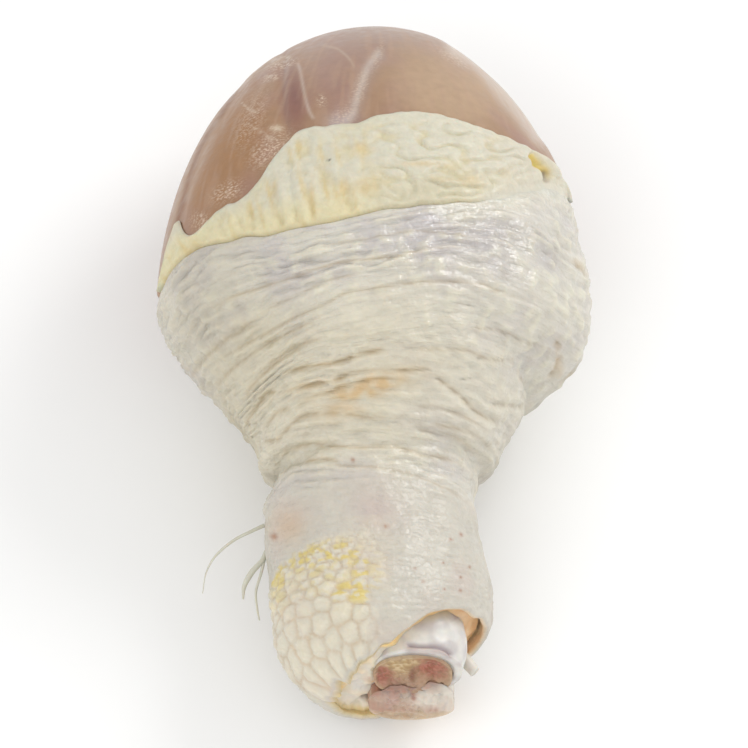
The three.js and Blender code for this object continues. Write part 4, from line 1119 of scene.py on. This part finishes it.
def ankle_filling():
    """White and ochre tissue round the bone, sunk in the middle and rising to the cuff."""
    piece, v, angle = ball("ankle_filling", 130, 150)
    back = BACK_END - GAP
    near_right = ramp(0.2, 0.9, np.cos(angle))
    low_left = hump_round(angle, 225, 60)
    behind_cuff, less_low_left = 1.1, 0.75
    front = cuff_edge(angle) + behind_cuff - less_low_left * low_left
    wide = to_poles(v, 0.3)
    wide = np.where(v < 0.5, np.sin(wide * math.pi / 2), wide)
    end = FILLED_TO + (front - FILLED_TO) * wide**2
    y = back + (end - back) * ramp(0.7, 0.3, v)
    points = narrowed(on_form(y, angle, -(CUFF_SKIN + GAP * 0.3)), wide)
    marks = seen(points)
    soft = perlin(points, 2, seed=66)
    fine = perlin(points, 0.7, seed=67)
    in_front = ramp(0.34, 0.26, v)
    slit = stroke(marks, [(-2, -47.8), (-1, -48), (0, -48.2)], 0.35, 0.2)
    slit += spot(marks, (2.5, -41.2), (0.35, 0.3))
    points[:, 1] -= in_front * (0.35 * soft + 0.1 * fine - 0.8 * slit) * ramp(1, 0.93, wide)
    put(piece, points)
    ochre = spot(marks, (-5.2, -46.2), (1.4, 1.4)) + spot(marks, (-2.4, -42.8), (1.8, 1.1), 40)
    ochre += spot(marks, (2.4, -39), (2.4, 1.3), 40) + 0.9 * ramp(0.78, 0.96, wide)
    ochre = np.clip(ochre + 0.3 * soft, 0, 1)
    # painted light: the tissue's white and ochre made lighter, most on the right, to offset the shade of the
    # recess they fill
    paint(piece, (240, 230, 212), [
        ((236, 231, 222), 0.8, (-2, -46.2), (1.6, 2.6), -30),
        ((212, 188, 176), 0.6, (-0.6, -45), (1, 0.5)),
        ((246, 212, 140), 0.95 * ochre * in_front),
        ((244, 226, 180), 0.6 * low_left * ramp(0.7, 0.95, wide) * in_front),
        ((244, 200, 150), 0.9 * near_right * in_front),
        # painted shade in the pressed-in slit and pit
        ((110, 76, 50), 0.8 * np.clip(slit, 0, 1) * in_front),
    ], marks)
    return piece


# ---- Slim things ----
def strand(name, points, radius_at, rows, sides):
    """A tapered round strand: a circle extruded along a smooth line, step by step."""
    line = (smooth_line(points, rows) + LEG_SHIFT) * MM
    steps = len(line) - 1
    deselect()
    bpy.ops.mesh.primitive_circle_add(
        vertices=sides, radius=radius_at(0) * MM, fill_type="NGON", location=line[0]
    )
    piece = named(name)
    bpy.ops.object.transform_apply(location=True)
    aim = Vector(line[1] - line[0]).to_track_quat("Z", "Y").to_matrix()
    centre = Vector(line[0])
    for vertex in piece.data.vertices:
        vertex.co = centre + aim @ (vertex.co - centre)
    bpy.ops.object.mode_set(mode="EDIT")
    bpy.ops.mesh.select_all(action="SELECT")
    for i in range(steps):
        taper = radius_at((i + 1) / steps) / radius_at(i / steps)
        bpy.ops.mesh.extrude_region_move(TRANSFORM_OT_translate={"value": line[i + 1] - line[i]})
        bpy.ops.transform.resize(value=(taper,) * 3, center_override=line[i + 1])
    bpy.ops.object.mode_set(mode="OBJECT")
    turn_outwards()
    return piece


def joined(name, pieces):
    deselect()
    for piece in pieces:
        piece.select_set(True)
    bpy.context.view_layer.objects.active = pieces[0]
    bpy.ops.object.join()
    return named(name)


def slim_things():
    tendon = strand("tendon_end", [(12.9, -52.9, 11.3), (13.8, -53.9, 11.3), (14.8, -55.1, 11)],
                    lambda s: 1.05 - 0.2 * s, 6, 16)
    long = strand("feather_long_thread", [
        (-15.9, -32.8, 14.6), (-17.6, -33.7, 14.6), (-20.4, -35, 14),
        (-23, -37, 13), (-24.4, -39.2, 11.8), (-24.9, -41.8, 10.4)],
        lambda s: 0.3 - 0.18 * s, 8, 10)
    root = (-15.6, -36.4, 13.4)
    broad = strand("broad_tine", [root, (-16.2, -37.8, 13), (-17.7, -39.4, 12.4),
                                  (-18.8, -41.2, 11.4), (-19, -42.8, 10.4)],
                   lambda s: 0.3 + 0.22 * math.sin(math.pi * s) - 0.15 * s, 8, 10)
    slim = strand("fine_tine", [root, (-16.3, -39.4, 12.4), (-17.1, -42, 11.2),
                                (-16.9, -44.4, 10.4), (-16.6, -46, 9.8)],
                  lambda s: 0.24 - 0.1 * s, 8, 10)
    forked = joined("feather_forked_thread", [broad, slim])
    paint(tendon, (226, 221, 210))
    paint(long, (216, 214, 198))
    paint(forked, (216, 214, 198))
    return tendon, long, forked


# ---- Materials ----
class Finish:
    """A material under construction. Its nodes are added with their inputs set or linked."""

    def __init__(self, name):
        self.material = bpy.data.materials.new(name)
        self.material.use_nodes = True
        self.tree = self.material.node_tree

    def fill(self, node, inputs):
        """Links inputs to the outputs they are given, and sets the others to values."""
        for name, value in inputs.items():
            if isinstance(value, bpy.types.NodeSocket):
                self.tree.links.new(value, node.inputs[name])
            else:
                node.inputs[name].default_value = value

    def surface(self, **inputs):
        """Fills inputs of the surface, which are named with _ for a space."""
        named_inputs = {name.replace("_", " "): value for name, value in inputs.items()}
        self.fill(self.tree.nodes["Principled BSDF"], named_inputs)

    def node(self, kind, output, inputs=None, **settings):
        """Adds a node and gives back its output of that name."""
        made = self.tree.nodes.new("ShaderNode" + kind)
        for key, value in settings.items():
            setattr(made, key, value)
        self.fill(made, inputs or {})
        return made.outputs[output]

    def stored(self, name, output="Fac"):
        return self.node("Attribute", output, attribute_name=name)

    def stretched(self, vector, *scale):
        return self.node("Mapping", "Vector", {"Vector": vector, "Scale": scale})

    def place(self):
        """Coordinates in millimetres."""
        return self.stretched(self.node("TexCoord", "Object"), 1000, 1000, 1000)

    def maths(self, operation, first, second):
        return self.node("Math", "Value", {0: first, 1: second}, operation=operation)

    def noise(self, vector, scale, detail):
        inputs = {"Vector": vector, "Scale": scale, "Detail": detail, "Lacunarity": 2.17}
        return self.node("TexNoise", "Fac", inputs)

    def between(self, value, low, high):
        """The middle of the range of a noise spread over low..high."""
        inputs = {"Value": value, "From Min": 0.3, "From Max": 0.7, "To Min": low, "To Max": high}
        return self.node("MapRange", "Result", inputs)

    def mixed(self, factor, first, second, blend="MIX"):
        inputs = {"Factor": factor, "A": first, "B": second}
        return self.node("Mix", "Result", inputs, data_type="RGBA", blend_type=blend)

    def mottled(self, colour, value, low, high):
        """The colour made darker and lighter by a value."""
        return self.mixed(1, colour, self.between(value, low, high), "MULTIPLY")

    def bump(self, height, depth):
        """A bump of `depth` mm."""
        return self.node("Bump", "Normal", {"Height": height, "Distance": depth * MM})


def flesh(
    name, scatter, scatter_mm, roughness, grain, depth,
    coat=0.3, coat_roughness=0.2, detail=2, specular=0.35, frosted=False,
):
    """Moist tissue: its painted tint, faintly mottled, with light scattered under it, and painted glints
    where asked.
    """
    finish = Finish(name)
    where = finish.place()
    mottle = finish.noise(where, 0.7, 2)
    fine = finish.noise(where, grain, detail)
    colour = finish.mottled(finish.stored("tint", "Color"), mottle, 0.95, 1.04)
    colour = finish.mottled(colour, fine, 0.975, 1.02)
    if frosted:
        # painted glints: pale specks of highlight where the attribute asks for them
        specks = finish.between(finish.noise(finish.stretched(where, 1, 1.5, 1), 2.3, 3), -1, 1.5)
        frost = finish.maths("MULTIPLY", finish.stored("frost"), specks)
        colour = finish.mixed(frost, colour, (*tint(204, 182, 162), 1))
    finish.surface(
        Base_Color=colour, Roughness=finish.between(mottle, roughness - 0.07, roughness + 0.1),
        Normal=finish.bump(fine, depth), Specular_IOR_Level=specular, Coat_Weight=coat,
        Coat_Roughness=coat_roughness, Subsurface_Weight=scatter,
        Subsurface_Scale=scatter_mm * MM, Subsurface_Radius=(1, 0.6, 0.4),
    )
    return finish


def wrinkled_skin():
    """Skin: besides its tint, tight lines along the wrinkles, a fine creping and small pearls."""
    finish = Finish("moist_skin")
    lined = finish.stored("lined")
    where = finish.place()
    along = finish.node("UVMap", "UV", uv_map="along")
    lines = finish.noise(finish.stretched(along, 1 / 7, 1 / 0.8, 1), 1, 2.5)
    creping = finish.noise(finish.stretched(along, 1 / 2.2, 1 / 0.9, 1), 1, 2)
    pearls = finish.noise(where, 0.9, 1.5)
    mottle = finish.noise(where, 0.35, 3)
    height = finish.maths("MULTIPLY", lines, lined)
    height = finish.maths("ADD", height, finish.maths("MULTIPLY", creping, 0.55))
    height = finish.maths("ADD", height, finish.maths("MULTIPLY", pearls, 0.7))
    drops = finish.maths("ADD", finish.maths("MULTIPLY", finish.noise(where, 1.9, 1), 0.6), height)
    drawn = finish.maths("MULTIPLY", finish.maths("SUBTRACT", lines, 0.5), lined)
    colour = finish.mottled(finish.stored("tint", "Color"), mottle, 0.965, 1.025)
    colour = finish.mottled(colour, creping, 0.97, 1.02)
    colour = finish.mottled(colour, finish.maths("ADD", drawn, 0.5), 0.91, 1.09)
    finish.surface(
        Base_Color=colour, Roughness=finish.between(pearls, 0.34, 0.5),
        Normal=finish.bump(height, 0.4), Specular_IOR_Level=0.4,
        Coat_Weight=finish.maths("MULTIPLY", lined, 0.5), Coat_Roughness=0.1,
        Coat_Normal=finish.bump(drops, 0.3), Subsurface_Weight=0.3,
        Subsurface_Scale=0.8 * MM, Subsurface_Radius=(1, 0.7, 0.5),
    )
    return finish


# ---- Stage ----
def camera():
    data = bpy.data.cameras.new("camera")
    data.sensor_width = 36
    data.lens = data.sensor_width * VIEW_DISTANCE / VIEW_WIDTH
    eye = bpy.data.objects.new("camera", data)
    bpy.context.scene.collection.objects.link(eye)
    aim = np.array(VIEW_MIDDLE) + LEG_SHIFT
    back = np.array([0, -math.cos(VIEW_TILT), math.sin(VIEW_TILT)]) * VIEW_DISTANCE
    eye.location = (aim + back) * MM
    eye.rotation_euler = (math.pi / 2 - VIEW_TILT, 0, 0)
    bpy.context.scene.camera = eye


def light(name, place, size, power, only_reflected=False):
    """A square lamp that is turned to the middle of the board."""
    data = bpy.data.lights.new(name, "AREA")
    data.size = size
    data.energy = power
    lamp = bpy.data.objects.new(name, data)
    lamp.visible_diffuse = not only_reflected
    bpy.context.scene.collection.objects.link(lamp)
    lamp.location = place
    lamp.rotation_euler = (-Vector(place)).to_track_quat("-Z", "Y").to_euler()


def stage():
    deselect()
    bpy.ops.mesh.primitive_plane_add(size=6, location=(0, 0, -0.1 * MM))
    floor = named("floor")
    finish = Finish("pale_floor")
    finish.surface(Base_Color=(0.93, 0.93, 0.925, 1), Roughness=0.9)
    floor.data.materials.append(finish.material)
    world = bpy.data.worlds.new("studio")
    bpy.context.scene.world = world
    world.use_nodes = True
    sky = world.node_tree.nodes["Background"]
    sky.inputs["Color"].default_value = (1, 1, 1, 1)
    sky.inputs["Strength"].default_value = 0.86
    light("key", (0.5, 0.3, 0.5), 0.35, 1.9)
    light("glint", (0.5, 0.35, 0.55), 0.12, 1.9, only_reflected=True)
    light("fill", (-0.4, -0.6, 0.6), 0.8, 2.2)
    bpy.context.scene.view_settings.view_transform = "Standard"


# ---- The drumstick ----
def dress(piece, finish, slot, *nodes):
    """Gives a piece its finish and its place in the frame, in front of solids of the model."""
    piece.data.materials.append(finish.material)
    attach(piece, "root")
    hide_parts(*nodes)


camera()
stage()
fat_finish = flesh("soft_fat", 0.35, 1.2, 0.5, 1.6, 0.14, coat=0.08, coat_roughness=0.12, specular=0.2)
meat_finish = flesh(
    "wet_meat", 0.3, 1.2, 0.36, 0.8, 0.05, coat=0.14, coat_roughness=0.1, specular=0.28, frosted=True
)
bone_finish = flesh("cut_bone", 0.15, 0.6, 0.5, 2.6, 0.16, detail=3)
cartilage_finish = flesh("wet_cartilage", 0.4, 1, 0.4, 0.9, 0.08, coat=0.12, coat_roughness=0.2)
gristle_finish = flesh("wet_gristle", 0.4, 1.2, 0.32, 1.4, 0.05, coat=0.4)
tissue_finish = flesh("moist_tissue", 0.4, 1.2, 0.35, 1.4, 0.05, coat=0.4)
feather_finish = flesh("feather_thread", 0.2, 0.4, 0.5, 4, 0.02, coat=0.1)

dress(skin(), wrinkled_skin(), "skin", "skin")
dress(fat(), fat_finish, "fat", "fat")
dress(meat(), meat_finish, "meat", "muscle")
dress(bone(), bone_finish, "bone", "tibia")
dress(cartilage(), cartilage_finish, "cartilage", "cartilage")
dress(gristle(), gristle_finish, "gristle", "gristle")
dress(ankle_filling(), tissue_finish, "tissue", "ankle_tissue")
tendon, long_thread, forked_thread = slim_things()
dress(tendon, cartilage_finish, "cartilage", "tendon_stub")
dress(long_thread, feather_finish, "feather", "feather_long")
dress(forked_thread, feather_finish, "feather", "feather_forked")
